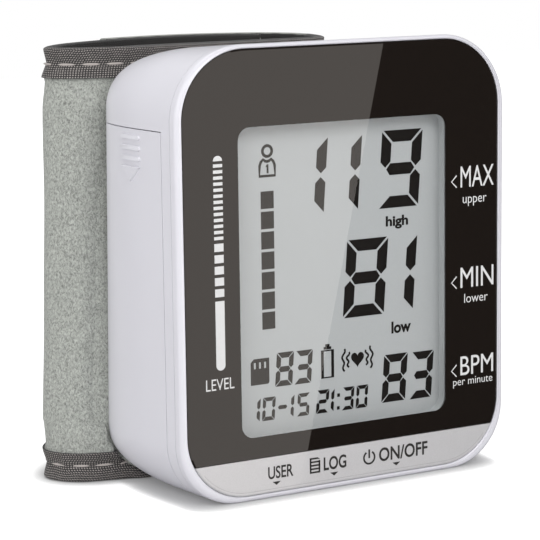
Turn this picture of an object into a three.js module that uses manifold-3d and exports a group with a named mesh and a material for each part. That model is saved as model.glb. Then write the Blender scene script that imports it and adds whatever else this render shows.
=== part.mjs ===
// Wrist blood pressure monitor: casing, works and cuff. Millimetres, X to the right, Y to the back, Z up.
import * as THREE from 'three';
import { mergeVertices } from 'three/addons/utils/BufferGeometryUtils.js';
import Module from 'manifold-3d';

const wasm = await Module();
wasm.setup();

// Clearances used all over the part.
const clear = { running: 0.3, seat: 0.15, close: 0.2, overrun: 1 };

// Casing: a pillow with a flat foot, lofted from the face at depth 0 to the back. It holds a battery tray
// on the left, the pump in the middle and the valve on the right, and its size follows from them.
const casing = {
  leftRoomWidth: 3.65, pumpGap: 1.3, valveGap: 5.7, rightRoomWidth: 5.15, overTrayHeight: 13.5,
  wall: 1.6, backWall: 2, sideSwell: 2.5, topFall: 2.1, rimRound: 0.9, rearRound: 3.5, rearRun: 16,
  topRadius: 11.9, bottomRadius: 10.2, rearTopRadius: 8.4, rearBottomRadius: 7.4,
  parting: 1.8, partingGap: 0.15, floorThickness: 0.6, lipDepth: 0.8,
};
const counts = {
  corner: 8, rim: 4, rear: 7, round: 20, small: 12, tube: 10, wrap: 46, overlap: 9, gripBars: 3,
  springSides: 5,
};

// Face: one panel outline, split into the dark lens and the silver key strip.
const panel = {
  sideMargin: 1.12, topMargin: 0.75, bottomMargin: 0.9, topRadius: 10.8, bottomRadius: 9.2,
  setback: 0.2, thickness: 0.95, stripTop: 6.76, splitGap: 0.12,
};
const view = { leftMargin: 10.695, rightMargin: 11.635, bottom: 10.22, topMargin: 12.75, gap: 0.6 };
const glass = { side: 1.05, end: 1.3, thickness: 2.1 };
const glassFrame = { wall: 0.8, depth: 5.4 };
const zebra = { width: 35, height: 2.4, drop: 1 };

// Circuit board behind the display, with a tongue that carries the key switches.
const board = {
  leftMargin: 4.65, rightMargin: 3.85, topMargin: 7.3, bottom: 8.8, front: 8.6, thickness: 1.6,
  tongueLeft: -17, tongueRight: 13, tongueBottom: 3.8, postGap: 0.5,
};
const chip = { width: 9, height: 1.5, bottom: 32 };
const buzzer = { radius: 2.8, height: 2.6, port: 0.8, portDepth: 1, x: -10, trayGap: 0.4 };

// Keys in the underside: cap, flange and stem, and the side-acting switch above each.
const keys = { places: [-13.5, -3, 9], depth: 6.3, travel: 0.6, recess: 0.3 };
const cap = { width: 6.4, depth: 4.2, flange: 0.7, flangeHeight: 0.7, stem: 1.2, stemHeight: 0.8 };
const keySwitch = { width: 6, bottom: 4.6, top: 7.9, front: 4.5, plunger: 1, bury: 1 };

// Battery door on the left side, its tongues, grip bars and triangle.
const door = {
  front: 4.4, topMargin: 13.15, returnWidth: 2.65, footWidth: 8.75, footZ: 6.5, tongue: 1,
  tongueBehind: 0.7, tongueRoot: 1.5, tongueBottom: 14, tongueDrop: 3.65, tabRise: 1.6, tabFront: 9,
  tabBack: 17, tabDrop: 4,
};
const grip = {
  front: 10.8, width: 6.2, height: 0.8, pitch: 1.45, topDrop: 1.5, proud: 0.35,
  triangleDrop: 5.9, triangleHeight: 2.4, triangleProud: 0.2,
};

// Two AAA cells in their tray.
const cell = { radius: 5.25, length: 44.5, nubRadius: 1.9, nubHeight: 1, edge: 0.5, gap: 0.3 };
const tray = { wall: 1.1, slotWidth: 3, setback: 0.6 };
const contact = { thickness: 0.4, width: 7, tab: 2 };
const spring = { wire: 0.35, height: 0.8, outer: 4, inner: 2.1, turnsShare: 2.25, turnSteps: 8 };

// Air pump, standing on its motor, whose can takes the height that is left under the manifold.
const pump = {
  slack: 0.5, motorBottom: 10, bodyHeight: 6.7, bodyWall: 1.8, diaphragm: 0.8, capHeight: 3.6, tubeRun: 1.2,
  shaft: 0.9, shaftBuryShare: 0.5, throw: 0.9, eccentricGap: 0.5, eccentricHeight: 3,
};
const lead = { width: 1.6, thickness: 0.6, drop: 2.4, steps: 10 };
const nozzle = { radius: 1.1, bore: 0.6, length: 3.6 };
const tube = { wall: 0.7, overlap: 2.6 };

// Exhaust valve: a small solenoid.
const valve = {
  bottom: 12.3, plate: 1.1, coilRadius: 4.2, coilHeight: 11.4, bore: 1.7,
  plunger: 1.4, plungerBury: 8, stroke: 1, capSize: 8.6, capHeight: 4.4, cavity: 2.4,
  cavityHeight: 2.4, headRadius: 2, headHeight: 0.8,
};

// Air manifold, pressure sensor and the nipple that feeds the cuff.
const manifold = { width: 6, backDepth: 2, underValve: 2.6, overNipple: 2.4 };
const airways = { nippleDrop: 10.2, sensorDrop: 5.6, valveDrop: 7, bend: 5 };
const sensor = { width: 8.5, noseGap: 0.8, height: 7, depth: 8.2 };
const nipple = { radius: 2, bore: 0.8, flange: 3.2 };

// Posts moulded on the front casing, and the screws that come in from the back.
const post = { radius: 2.1, pilot: 0.85, pilotDepth: 7, footRadius: 1.65 };
const screw = { shank: 0.65, head: 1.9, headHeight: 1.2, thread: 6, slot: 0.6, slotDepth: 0.5, sink: 0.2 };
const postAt = { sideMargin: 6.25, footMargin: 11.35, topMargin: 10.3, low: 9.6, footZ: 6.4 };

// Plate that holds the cuff on the back of the casing, in a pocket of its own.
const plate = {
  width: 28, topMargin: 14.8, bottom: 13, sunk: 1, x: -3, clipX: -2.3, clipWidth: 3.8, clipThickness: 1,
  clipInset: 2.5, clipLip: 0.6, clipLipDepth: 0.8,
};

// Cuff: plan outline of the outer face as shares of the loop's width and depth, then its layers.
const cuff = {
  width: 52, nippleShare: 0.752, standoff: 1.1, depth: 22.9, heightDrop: 1.4,
  fleece: 0.7, stiffener: 0.5, bladder: 1, lining: 0.5, layerGap: 0.3,
  bindingHeight: 5.1, bindingThickness: 0.4, bindingGap: 0.2, rimGap: 0.3,
  hookLength: 14, hookThickness: 0.9, hookMargin: 1.5, bladderMargin: 2.5,
  bladderSkin: 0.3, bladderSeam: 2, stiffenerMargin: 4,
};
const sleeveShares = [
  [1, 0.432], [0.977, 0.2], [0.925, 0.06], [0.88, 0.012], [0.84, 0], [0.79, 0], [0.5, 0], [0.3, 0],
  [0.25, 0], [0.2, 0.01], [0.13, 0.045], [0.041, 0.14], [0, 0.285], [0.025, 0.44], [0.105, 0.63],
  [0.228, 0.79], [0.42, 0.952], [0.615, 1], [0.774, 0.92], [0.878, 0.745],
];
const tailStartShares = [[1, 0.472], [0.992, 0.62], [0.955, 0.79], [0.885, 0.945]];
const tail = { fromShare: 0.925, toShare: 0.745 };
const pad = {
  fromShare: 0.08, toShare: 0.43, blendShare: 0.05, layersFromShare: 0.13, layersToShare: 0.375,
};

// Stack of the battery tray: link contact, spring, cell, upper contact. Cells side by side.
const boardBack = board.front + board.thickness;
const mountedY = boardBack + clear.close;
const linkZ = board.bottom + tray.wall + clear.running;
const springZ = linkZ + contact.thickness + clear.close;
const cellBottom = springZ + spring.height + clear.close;
const cellTop = cellBottom + cell.length;
const topContactZ = cellTop + clear.close;
const trayTop = topContactZ + contact.thickness + clear.running + tray.wall;
const trayBack = mountedY + (tray.wall + clear.running + cell.radius) * 2;
const cellPitch = cell.radius * 2 + cell.gap;
const trayWidth = cellPitch + cell.radius * 2 + clear.running + tray.wall - tray.setback;

// Pump and valve, as thick as the tray leaves room for, and the casing round all three.
const pumpRadius = (trayBack - mountedY - pump.slack) / 2;
const valveWidth = valve.coilRadius * 2 + clear.running + valve.plate;
const caseSize = {
  width: casing.leftRoomWidth + trayWidth + casing.pumpGap + pumpRadius * 2 + casing.valveGap + valveWidth
    + casing.rightRoomWidth,
  height: trayTop + casing.overTrayHeight,
  depth: trayBack + clear.running + casing.backWall,
};
const trayLeft = casing.leftRoomWidth - caseSize.width / 2;
const trayRight = trayLeft + trayWidth;
const pumpX = trayRight + casing.pumpGap + pumpRadius;
const pumpY = trayBack - pumpRadius;
const valveX = pumpX + pumpRadius + casing.valveGap + valve.coilRadius;
const nippleZ = caseSize.height - airways.nippleDrop;
const sensorZ = nippleZ - airways.sensorDrop;
const valveZ = sensorZ - airways.valveDrop;
const doorTop = caseSize.height - door.topMargin;
const cuffFront = caseSize.depth + cuff.standoff;
const cuffHeight = caseSize.height - cuff.heightDrop;

// Solids from closed geometries, and back.
function solidOf(geometry) {
  const bare = geometry.clone();
  bare.deleteAttribute('normal');
  bare.deleteAttribute('uv');
  const merged = mergeVertices(bare);
  return new wasm.Manifold(new wasm.Mesh({
    numProp: 3,
    vertProperties: merged.attributes.position.array,
    triVerts: new Uint32Array(merged.index.array),
  }));
}

function geometryOf(solid) {
  const mesh = solid.getMesh();
  const geometry = new THREE.BufferGeometry();
  geometry.setAttribute('position', new THREE.BufferAttribute(mesh.vertProperties, 3));
  geometry.setIndex(new THREE.BufferAttribute(mesh.triVerts, 1));
  return geometry;
}

function combine(first, others, step) {
  let solid = solidOf(first);
  for (const other of others) solid = step(solid, solidOf(other));
  return geometryOf(solid);
}

const cut = (first, ...others) => combine(first, others, (a, b) => a.subtract(b));
const join = (first, ...others) => combine(first, others, (a, b) => a.add(b));
const common = (first, ...others) => combine(first, others, (a, b) => a.intersect(b));

// Box between two values on each axis.
function block([x0, x1], [y0, y1], [z0, z1]) {
  const box = new THREE.BoxGeometry(x1 - x0, y1 - y0, z1 - z0);
  return box.translate((x0 + x1) / 2, (y0 + y1) / 2, (z0 + z1) / 2);
}

// Round rods along each axis, between two values.
function rodZ(radius, x, y, z0, z1, sides = counts.round) {
  const rod = new THREE.CylinderGeometry(radius, radius, z1 - z0, sides).rotateX(Math.PI / 2);
  return rod.translate(x, y, (z0 + z1) / 2);
}

function rodY(radius, x, z, y0, y1, sides = counts.round) {
  const rod = new THREE.CylinderGeometry(radius, radius, y1 - y0, sides);
  return rod.translate(x, (y0 + y1) / 2, z);
}

function rodX(radius, y, z, x0, x1, sides = counts.round) {
  const rod = new THREE.CylinderGeometry(radius, radius, x1 - x0, sides).rotateZ(Math.PI / 2);
  return rod.translate((x0 + x1) / 2, y, z);
}

// Closed skin through rings of equal length that stand square to Y, front ring first.
function loft(rings) {
  const positions = rings.flatMap(([depth, points]) => points.flatMap(([x, z]) => [x, depth, z]));
  const size = rings[0][1].length;
  const faces = [];
  for (let ring = 0; ring + 1 < rings.length; ring += 1) {
    for (let side = 0; side < size; side += 1) {
      const a = ring * size + side;
      const b = ring * size + (side + 1) % size;
      faces.push(a, a + size, b + size, a, b + size, b);
    }
  }
  const last = (rings.length - 1) * size;
  for (let side = 1; side + 1 < size; side += 1) {
    faces.push(0, side, side + 1, last, last + side + 1, last + side);
  }
  const geometry = new THREE.BufferGeometry();
  geometry.setAttribute('position', new THREE.Float32BufferAttribute(positions, 3));
  geometry.setIndex(faces);
  return geometry;
}

// Rounded outline in X and Z, turning from +X towards +Z.
function outline(halfWidth, bottom, top, topRadius, bottomRadius) {
  const corners = [
    [halfWidth - topRadius, top - topRadius, topRadius],
    [topRadius - halfWidth, top - topRadius, topRadius],
    [bottomRadius - halfWidth, bottom + bottomRadius, bottomRadius],
    [halfWidth - bottomRadius, bottom + bottomRadius, bottomRadius],
  ];
  return corners.flatMap(([x, z, radius], quarter) => (
    Array.from({ length: counts.corner + 1 }, (_, step) => {
      const angle = (quarter + step / counts.corner) * Math.PI / 2;
      return [x + radius * Math.cos(angle), z + radius * Math.sin(angle)];
    })
  ));
}

// How far the casing's skin draws in at a depth: the front rim's round, then the long round at the back.
function drawIn(depth) {
  if (depth < casing.rimRound) {
    return casing.rimRound - Math.sqrt(casing.rimRound ** 2 - (casing.rimRound - depth) ** 2);
  }
  const run = Math.max(0, (depth - caseSize.depth + casing.rearRun) / casing.rearRun);
  return casing.rearRound * (1 - Math.sqrt(1 - Math.min(1, run) ** 2));
}

function casingOutline(depth, inset) {
  const share = depth / caseSize.depth;
  const inward = drawIn(depth) + inset;
  const topRadius = casing.topRadius + (casing.rearTopRadius - casing.topRadius) * share;
  const bottomRadius = casing.bottomRadius + (casing.rearBottomRadius - casing.bottomRadius) * share;
  return outline(
    caseSize.width / 2 + casing.sideSwell * share - inward,
    inward,
    caseSize.height - casing.topFall * share - inward,
    topRadius - inward,
    bottomRadius - inward,
  );
}

// Stretch of the casing's pillow between two depths, moved in from its skin.
function pillow(from, to, inset = 0) {
  const rimDepths = Array.from({ length: counts.rim + 1 }, (_, step) => (
    casing.rimRound * (1 - Math.cos(step / counts.rim * Math.PI / 2))
  ));
  const rearDepths = Array.from({ length: counts.rear + 1 }, (_, step) => (
    caseSize.depth - casing.rearRun + casing.rearRun * Math.sin(step / counts.rear * Math.PI / 2)
  ));
  const between = [...rimDepths, ...rearDepths].filter((depth) => depth > from && depth < to);
  return loft([from, ...between, to].map((depth) => [depth, casingOutline(depth, inset)]));
}

// Flat plate with the panel's outline, grown or shrunk all round.
function panelPlate(from, to, grow) {
  const points = outline(
    caseSize.width / 2 - panel.sideMargin + grow,
    panel.bottomMargin - grow,
    caseSize.height - panel.topMargin + grow,
    panel.topRadius + grow,
    panel.bottomRadius + grow,
  );
  return loft([[from, points], [to, points]]);
}

const parts = new THREE.Group();

function add(name, geometry, colour, roughness, metalness = 0) {
  const material = new THREE.MeshStandardMaterial({ color: colour, roughness, metalness });
  const mesh = new THREE.Mesh(geometry, material);
  mesh.name = name;
  parts.add(mesh);
  return mesh;
}

const finish = {
  shell: 0xdedde6, lens: 0x1b1816, strip: 0xc8c7c6, display: 0xb9bfbe, dark: 0x2b2c2e, board: 0x2f6b45,
  metal: 0xb9bcc0, cell: 0x4a4d52, rubber: 0xd9d6cf, fleece: 0xaab2ac, fabric: 0x3c3c3e, clear: 0xc9d3d8,
};

// Depths that follow from the face inwards.
const panelBack = panel.setback + panel.thickness;
const pocketFloor = casing.parting - casing.floorThickness;
const lipBack = casing.parting + casing.lipDepth;
const lipInset = casing.wall + clear.running;
const bodyFront = casing.parting + casing.partingGap;
const backInner = caseSize.depth - casing.backWall;
const windowX = [view.leftMargin - caseSize.width / 2, caseSize.width / 2 - view.rightMargin];
const windowZ = [view.bottom, caseSize.height - view.topMargin];
const grown = ([low, high], by) => [low - by, high + by];

// Posts for the four screws: [x, z, radius].
const postX = caseSize.width / 2 - postAt.sideMargin;
const postTop = caseSize.height - postAt.topMargin;
const posts = [
  [-postX, postTop, post.radius],
  [postX, postTop, post.radius],
  [postX, postAt.low, post.radius],
  [postAt.footMargin - caseSize.width / 2, postAt.footZ, post.footRadius],
];
const postEnd = backInner - clear.running;

function frontCase() {
  const rim = cut(
    pillow(0, casing.parting),
    panelPlate(-clear.overrun, pocketFloor, clear.seat),
  );
  const lip = pillow(pocketFloor, lipBack, lipInset);
  const opening = block(
    grown(windowX, view.gap),
    [-clear.overrun, lipBack + clear.overrun],
    grown(windowZ, view.gap),
  );
  const rods = posts.map(([x, z, radius]) => rodY(radius, x, z, pocketFloor, postEnd, counts.small));
  const pilots = posts.map(([x, z]) => (
    rodY(post.pilot, x, z, postEnd - post.pilotDepth, postEnd + clear.overrun, counts.small)
  ));
  return cut(join(rim, lip, ...rods), opening, ...pilots);
}

// Space that the door takes out of the casing's skin, with a gap round it.
const doorReturnX = door.returnWidth - caseSize.width / 2;
const doorFootX = door.footWidth - caseSize.width / 2;

function doorSpace(gap) {
  const side = block(
    [-caseSize.width, doorReturnX + gap],
    [door.front - gap, caseSize.depth + clear.overrun],
    [-clear.overrun, doorTop + gap],
  );
  const foot = block(
    [-caseSize.width, doorFootX + gap],
    [door.front - gap, caseSize.depth + clear.overrun],
    [-clear.overrun, door.footZ + gap],
  );
  return join(side, foot);
}

function casingShell(from) {
  return cut(pillow(from, caseSize.depth), pillow(from - clear.overrun, backInner, casing.wall));
}

// Openings of the main casing for keys, screws, the cuff plate and the cuff nipple.
const capHole = { width: cap.width + clear.close * 2, depth: cap.depth + clear.close * 2 };
const plateX = [plate.x - plate.width / 2, plate.x + plate.width / 2];
const plateZ = [plate.bottom, caseSize.height - plate.topMargin];
const clipX = [plate.clipX - plate.clipWidth / 2, plate.clipX + plate.clipWidth / 2];
const clipZ = [plateZ[0] + plate.clipInset, plateZ[1] - plate.clipInset - plate.clipThickness].map(
  (low) => [low, low + plate.clipThickness],
);
const headFloor = caseSize.depth - screw.headHeight - screw.sink;

function stadium(width, depth, x, y, z0, z1) {
  const radius = depth / 2;
  const half = width / 2 - radius;
  return join(
    block([x - half, x + half], [y - radius, y + radius], [z0, z1]),
    rodZ(radius, x - half, y, z0, z1),
    rodZ(radius, x + half, y, z0, z1),
  );
}

function mainCase() {
  const keyHoles = keys.places.map((x) => (
    stadium(capHole.width, capHole.depth, x, keys.depth, -clear.overrun, casing.wall + clear.overrun)
  ));
  const throughBack = [backInner - clear.overrun, caseSize.depth + clear.overrun];
  const shankHoles = posts.map(([x, z]) => (
    rodY(screw.shank + clear.close, x, z, ...throughBack, counts.small)
  ));
  const headHoles = posts.map(([x, z]) => (
    rodY(screw.head + clear.close, x, z, headFloor, caseSize.depth + clear.overrun)
  ));
  const pocket = block(
    grown(plateX, clear.seat),
    [caseSize.depth - plate.sunk - clear.seat, caseSize.depth + clear.overrun],
    grown(plateZ, clear.seat),
  );
  const clipHoles = clipZ.map((span) => block(
    grown(clipX, clear.close),
    [backInner - clear.overrun, caseSize.depth],
    grown(span, clear.close),
  ));
  const nippleHole = rodY(
    nipple.radius + clear.close, pumpX, nippleZ, ...throughBack, counts.small,
  );
  return cut(
    casingShell(bodyFront), doorSpace(clear.seat),
    ...keyHoles, ...shankHoles, ...headHoles, pocket, ...clipHoles, nippleHole,
  );
}

function displayPanel(lower, upper) {
  return common(
    panelPlate(panel.setback, panelBack, 0),
    block([-caseSize.width, caseSize.width], [0, caseSize.depth], [lower, upper]),
  );
}

function caseScrew(x, z) {
  const tip = postEnd - screw.thread;
  const headBack = headFloor + screw.headHeight;
  return cut(
    join(
      rodY(screw.shank, x, z, tip, headFloor + screw.sink, counts.small),
      rodY(screw.head, x, z, headFloor, headBack),
    ),
    block(
      [x - screw.head - clear.overrun, x + screw.head + clear.overrun],
      [headBack - screw.slotDepth, headBack + clear.overrun],
      [z - screw.slot / 2, z + screw.slot / 2],
    ),
  );
}

add('front_case', frontCase(), finish.shell, 0.35);
add('main_case', mainCase(), finish.shell, 0.35);
add('display_lens', displayPanel(panel.stripTop + panel.splitGap / 2, caseSize.height), finish.lens, 0.08);
add('key_strip', displayPanel(0, panel.stripTop - panel.splitGap / 2), finish.strip, 0.3);
posts.forEach(([x, z], index) => {
  add('case_screw_' + (index + 1), caseScrew(x, z), finish.metal, 0.3, 1);
});

// Display stack between the casing's lip and the board.
const glassX = grown(windowX, glass.side);
const glassZ = grown(windowZ, glass.end);
const glassFront = lipBack + clear.running;
const glassBack = glassFront + glass.thickness;
const holderX = grown(glassX, clear.running + glassFrame.wall);
const holderZ = grown(glassZ, clear.close + glassFrame.wall / 2);
const holderBack = glassFront + glassFrame.depth;

add('display_glass', block(glassX, [glassFront, glassBack], glassZ), finish.display, 0.15);
add('display_frame', cut(
  block(holderX, [glassFront, holderBack], holderZ),
  block(grown(glassX, clear.running), [0, holderBack + clear.overrun], grown(glassZ, clear.close)),
), finish.dark, 0.5);
const zebraTop = glassZ[1] - zebra.drop;
add('display_connector', block(
  grown(glassX, (zebra.width - glassX[1] + glassX[0]) / 2),
  [glassBack + clear.close, board.front - clear.close],
  [zebraTop - zebra.height, zebraTop],
), finish.dark, 0.8);

// Board, its chip, the buzzer and the pressure sensor.
const boardX = [board.leftMargin - caseSize.width / 2, caseSize.width / 2 - board.rightMargin];
const boardZ = [board.bottom, caseSize.height - board.topMargin];

function circuitBoard() {
  const span = [board.front, boardBack];
  const main = block(boardX, span, boardZ);
  const tongue = block(
    [board.tongueLeft, board.tongueRight], span, [board.tongueBottom, board.bottom + clear.overrun],
  );
  const notches = posts.map(([x, z, radius]) => rodY(
    radius + board.postGap, x, z, board.front - clear.overrun, boardBack + clear.overrun,
  ));
  return cut(join(main, tongue), ...notches);
}

const manifoldX = [pumpX - manifold.width / 2, pumpX + manifold.width / 2];
const sideTip = manifoldX[1] + nozzle.length;
const sensorNose = sideTip + sensor.noseGap;
const sensorX = [sensorNose + nozzle.length, sensorNose + nozzle.length + sensor.width];
const sensorSpan = [sensorZ - sensor.height / 2, sensorZ + sensor.height / 2];

function sensorBody() {
  return cut(
    join(
      block(sensorX, [mountedY, mountedY + sensor.depth], sensorSpan),
      rodX(nozzle.radius, pumpY, sensorZ, sensorNose, sensorX[0] + clear.overrun, counts.small),
    ),
    rodX(
      nozzle.bore, pumpY, sensorZ, sensorNose - clear.overrun, sensorX[0] + clear.overrun, counts.small,
    ),
  );
}

function buzzerBody() {
  const back = mountedY + buzzer.height;
  const z = trayTop + buzzer.trayGap + buzzer.radius;
  return cut(
    rodY(buzzer.radius, buzzer.x, z, mountedY, back),
    rodY(buzzer.port, buzzer.x, z, back - buzzer.portDepth, back + clear.overrun, counts.small),
  );
}

add('circuit_board', circuitBoard(), finish.board, 0.6);
add('controller_chip', block(
  [valveX - chip.width / 2, valveX + chip.width / 2],
  [mountedY, mountedY + chip.height],
  [chip.bottom, chip.bottom + chip.width],
), finish.dark, 0.6);
add('buzzer', buzzerBody(), finish.dark, 0.5);
add('pressure_sensor', sensorBody(), finish.dark, 0.5);

// Keys: cap with flange and stem, then the switch body and its plunger.
const flangeBottom = casing.wall + clear.running;
const flangeTop = flangeBottom + cap.flangeHeight;
const stemTop = flangeTop + cap.stemHeight;
const plungerBottom = stemTop + clear.running;

function keyCap(x) {
  return join(
    stadium(cap.width, cap.depth, x, keys.depth, keys.recess, flangeTop),
    stadium(
      cap.width + cap.flange * 2, cap.depth + cap.flange * 2, x, keys.depth, flangeBottom, flangeTop,
    ),
    rodZ(cap.stem, x, keys.depth, flangeBottom, stemTop, counts.small),
  );
}

function switchBody(x) {
  const plungerTop = keySwitch.bottom + keySwitch.bury;
  return cut(
    block(
      [x - keySwitch.width / 2, x + keySwitch.width / 2],
      [keySwitch.front, board.front - clear.seat],
      [keySwitch.bottom, keySwitch.top],
    ),
    rodZ(
      keySwitch.plunger + clear.running, x, keys.depth,
      keySwitch.bottom - clear.overrun, plungerTop + keys.travel + clear.running, counts.small,
    ),
  );
}

keys.places.forEach((x, index) => {
  const number = index + 1;
  add('key_cap_' + number, keyCap(x), finish.shell, 0.4);
  add('key_switch_' + number, switchBody(x), finish.dark, 0.5);
  add('key_plunger_' + number, rodZ(
    keySwitch.plunger, x, keys.depth, plungerBottom, keySwitch.bottom + keySwitch.bury, counts.small,
  ), finish.clear, 0.5);
});

// Battery door: the casing's own skin, tongues behind its edges, grip bars and the triangle.
const skinAt = (depth) => -(caseSize.width / 2 + casing.sideSwell * depth / caseSize.depth - drawIn(depth));
const doorInner = -caseSize.width / 2 + casing.wall;

function gripBar(top) {
  const back = grip.front + grip.width;
  const outer = Math.min(skinAt(grip.front), skinAt(back)) - grip.proud;
  return block([outer, doorInner], [grip.front, back], [top - grip.height, top]);
}

function gripTriangle() {
  const back = grip.front + grip.width;
  const top = doorTop - grip.triangleDrop;
  const shape = new THREE.Shape();
  shape.moveTo(grip.front, top);
  shape.lineTo((grip.front + back) / 2, top - grip.triangleHeight);
  shape.lineTo(back, top);
  const outer = Math.min(skinAt(grip.front), skinAt(back)) - grip.triangleProud;
  const geometry = new THREE.ExtrudeGeometry(shape, { depth: doorInner - outer, bevelEnabled: false });
  return geometry.rotateX(Math.PI / 2).rotateZ(Math.PI / 2).translate(outer, 0, 0);
}

function batteryDoor() {
  const skin = common(casingShell(bodyFront), doorSpace(0));
  const innerFace = skinAt(door.front) + casing.wall + clear.running;
  const tongueZ = [door.tongueBottom, doorTop - door.tongueDrop];
  const tongueX = [doorReturnX - door.tongueRoot, doorReturnX + door.tongueBehind];
  const tongueFront = backInner - clear.running - door.tongue;
  const tongue = block(tongueX, [tongueFront, backInner - clear.running], tongueZ);
  const tongueWeb = block(
    [tongueX[0], doorReturnX - clear.running],
    [tongueFront, backInner + casing.backWall / 2],
    tongueZ,
  );
  const tab = block(
    [innerFace, innerFace + door.tongue],
    [door.tabFront, door.tabBack],
    [doorTop - door.tabDrop, doorTop + door.tabRise],
  );
  const tabWeb = block(
    [skinAt(door.tabFront) + casing.wall / 2, innerFace + door.tongue],
    [door.tabFront, door.tabBack],
    [doorTop - door.tabDrop, doorTop - clear.running],
  );
  const bars = Array.from({ length: counts.gripBars }, (_, index) => (
    gripBar(doorTop - grip.topDrop - index * grip.pitch)
  ));
  return join(skin, tongue, tongueWeb, tab, tabWeb, ...bars, gripTriangle());
}

add('battery_door', batteryDoor(), finish.shell, 0.35);

// Cells side by side, with the tray and contacts made to fit round them.
const cellX = [trayLeft + cell.radius - tray.setback, trayLeft + cell.radius - tray.setback + cellPitch];
const cellY = mountedY + tray.wall + clear.running + cell.radius;
const flippedBottom = linkZ + contact.thickness + clear.close;
const flippedTop = flippedBottom + cell.length;

function batteryTray() {
  const slots = cellX.map((x) => block(
    [x - tray.slotWidth / 2, x + tray.slotWidth / 2],
    [mountedY - clear.overrun, mountedY + tray.wall + clear.overrun],
    [topContactZ - clear.close, topContactZ + contact.thickness + clear.close],
  ));
  return cut(
    block([trayLeft, trayRight], [mountedY, trayBack], [board.bottom, trayTop]),
    block(
      [trayLeft - clear.overrun, trayRight - tray.wall],
      [mountedY + tray.wall, trayBack - tray.wall],
      [board.bottom + tray.wall, trayTop - tray.wall],
    ),
    ...slots,
  );
}

function cellSolid(bottom, nubUp, x) {
  const can = cell.length - cell.nubHeight;
  const profile = [
    [0, 0], [cell.radius - cell.edge, 0], [cell.radius, cell.edge], [cell.radius, can - cell.edge],
    [cell.radius - cell.edge, can], [cell.nubRadius, can], [cell.nubRadius, cell.length], [0, cell.length],
  ].map(([radius, height]) => new THREE.Vector2(radius, height));
  const geometry = new THREE.LatheGeometry(profile, counts.round);
  if (!nubUp) geometry.rotateX(Math.PI).translate(0, cell.length, 0);
  return geometry.rotateX(Math.PI / 2).translate(x, cellY, bottom);
}

function topContact(x) {
  const span = [topContactZ, topContactZ + contact.thickness];
  const half = contact.width / 2;
  return join(
    block([x - half, x + half], [cellY - half, cellY + half], span),
    block([x - contact.tab / 2, x + contact.tab / 2], [mountedY, cellY], span),
  );
}

function linkContact() {
  const half = contact.width / 2;
  const thickness = [linkZ, linkZ + contact.thickness];
  return block([cellX[0] - half, cellX[1] + half], [cellY - half, cellY + half], thickness);
}

// Flat conical spring: the wire winds inwards as it rises.
class SpringLine extends THREE.Curve {
  getPoint(share, target = new THREE.Vector3()) {
    const angle = share * spring.turnsShare * Math.PI * 2;
    const radius = spring.outer + (spring.inner - spring.outer) * share;
    const rise = spring.wire / 2 + (spring.height - spring.wire) * share;
    return target.set(radius * Math.cos(angle), radius * Math.sin(angle), rise);
  }
}

function springSolid(x, z) {
  const section = new THREE.Shape();
  section.absarc(0, 0, spring.wire / 2, 0, Math.PI * 2, false);
  const geometry = new THREE.ExtrudeGeometry(section, {
    steps: Math.round(spring.turnsShare * spring.turnSteps),
    curveSegments: counts.springSides,
    bevelEnabled: false,
    extrudePath: new SpringLine(),
  });
  return geometry.translate(x, cellY, z);
}

add('battery_tray', batteryTray(), finish.dark, 0.6);
add('battery_cell_1', cellSolid(cellBottom, true, cellX[0]), finish.cell, 0.35);
add('battery_cell_2', cellSolid(flippedBottom, false, cellX[1]), finish.cell, 0.35);
add('contact_link', linkContact(), finish.metal, 0.3, 1);
add('contact_positive', topContact(cellX[0]), finish.metal, 0.3, 1);
add('contact_negative', topContact(cellX[1]), finish.metal, 0.3, 1);
add('battery_spring_1', springSolid(cellX[0], springZ), finish.metal, 0.3, 1);
add('battery_spring_2', springSolid(cellX[1], flippedTop + clear.close), finish.metal, 0.3, 1);

// Air pump: motor can, body with the rotor's chamber, diaphragm and outlet cap.
const manifoldZ = [valveZ - manifold.underValve, nippleZ + manifold.overNipple];
const manifoldInlet = manifoldZ[0] - nozzle.length;
const pumpHead = pump.bodyHeight + pump.diaphragm + pump.capHeight + clear.running * 3;
const motorTop = manifoldInlet - pump.tubeRun - nozzle.length - pumpHead;
const shaftBury = (motorTop - pump.motorBottom) * pump.shaftBuryShare;
const pumpChamber = pumpRadius - pump.bodyWall;
const eccentric = pumpChamber - pump.throw - pump.eccentricGap;
const pumpBody = [motorTop + clear.running, motorTop + clear.running + pump.bodyHeight];
const diaphragmZ = [pumpBody[1] + clear.running, pumpBody[1] + clear.running + pump.diaphragm];
const pumpCap = [diaphragmZ[1] + clear.running, diaphragmZ[1] + clear.running + pump.capHeight];
const pumpOutlet = pumpCap[1] + nozzle.length;
const rotorDisc = [pumpBody[0] + clear.overrun, pumpBody[0] + clear.overrun + pump.eccentricHeight];

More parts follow.
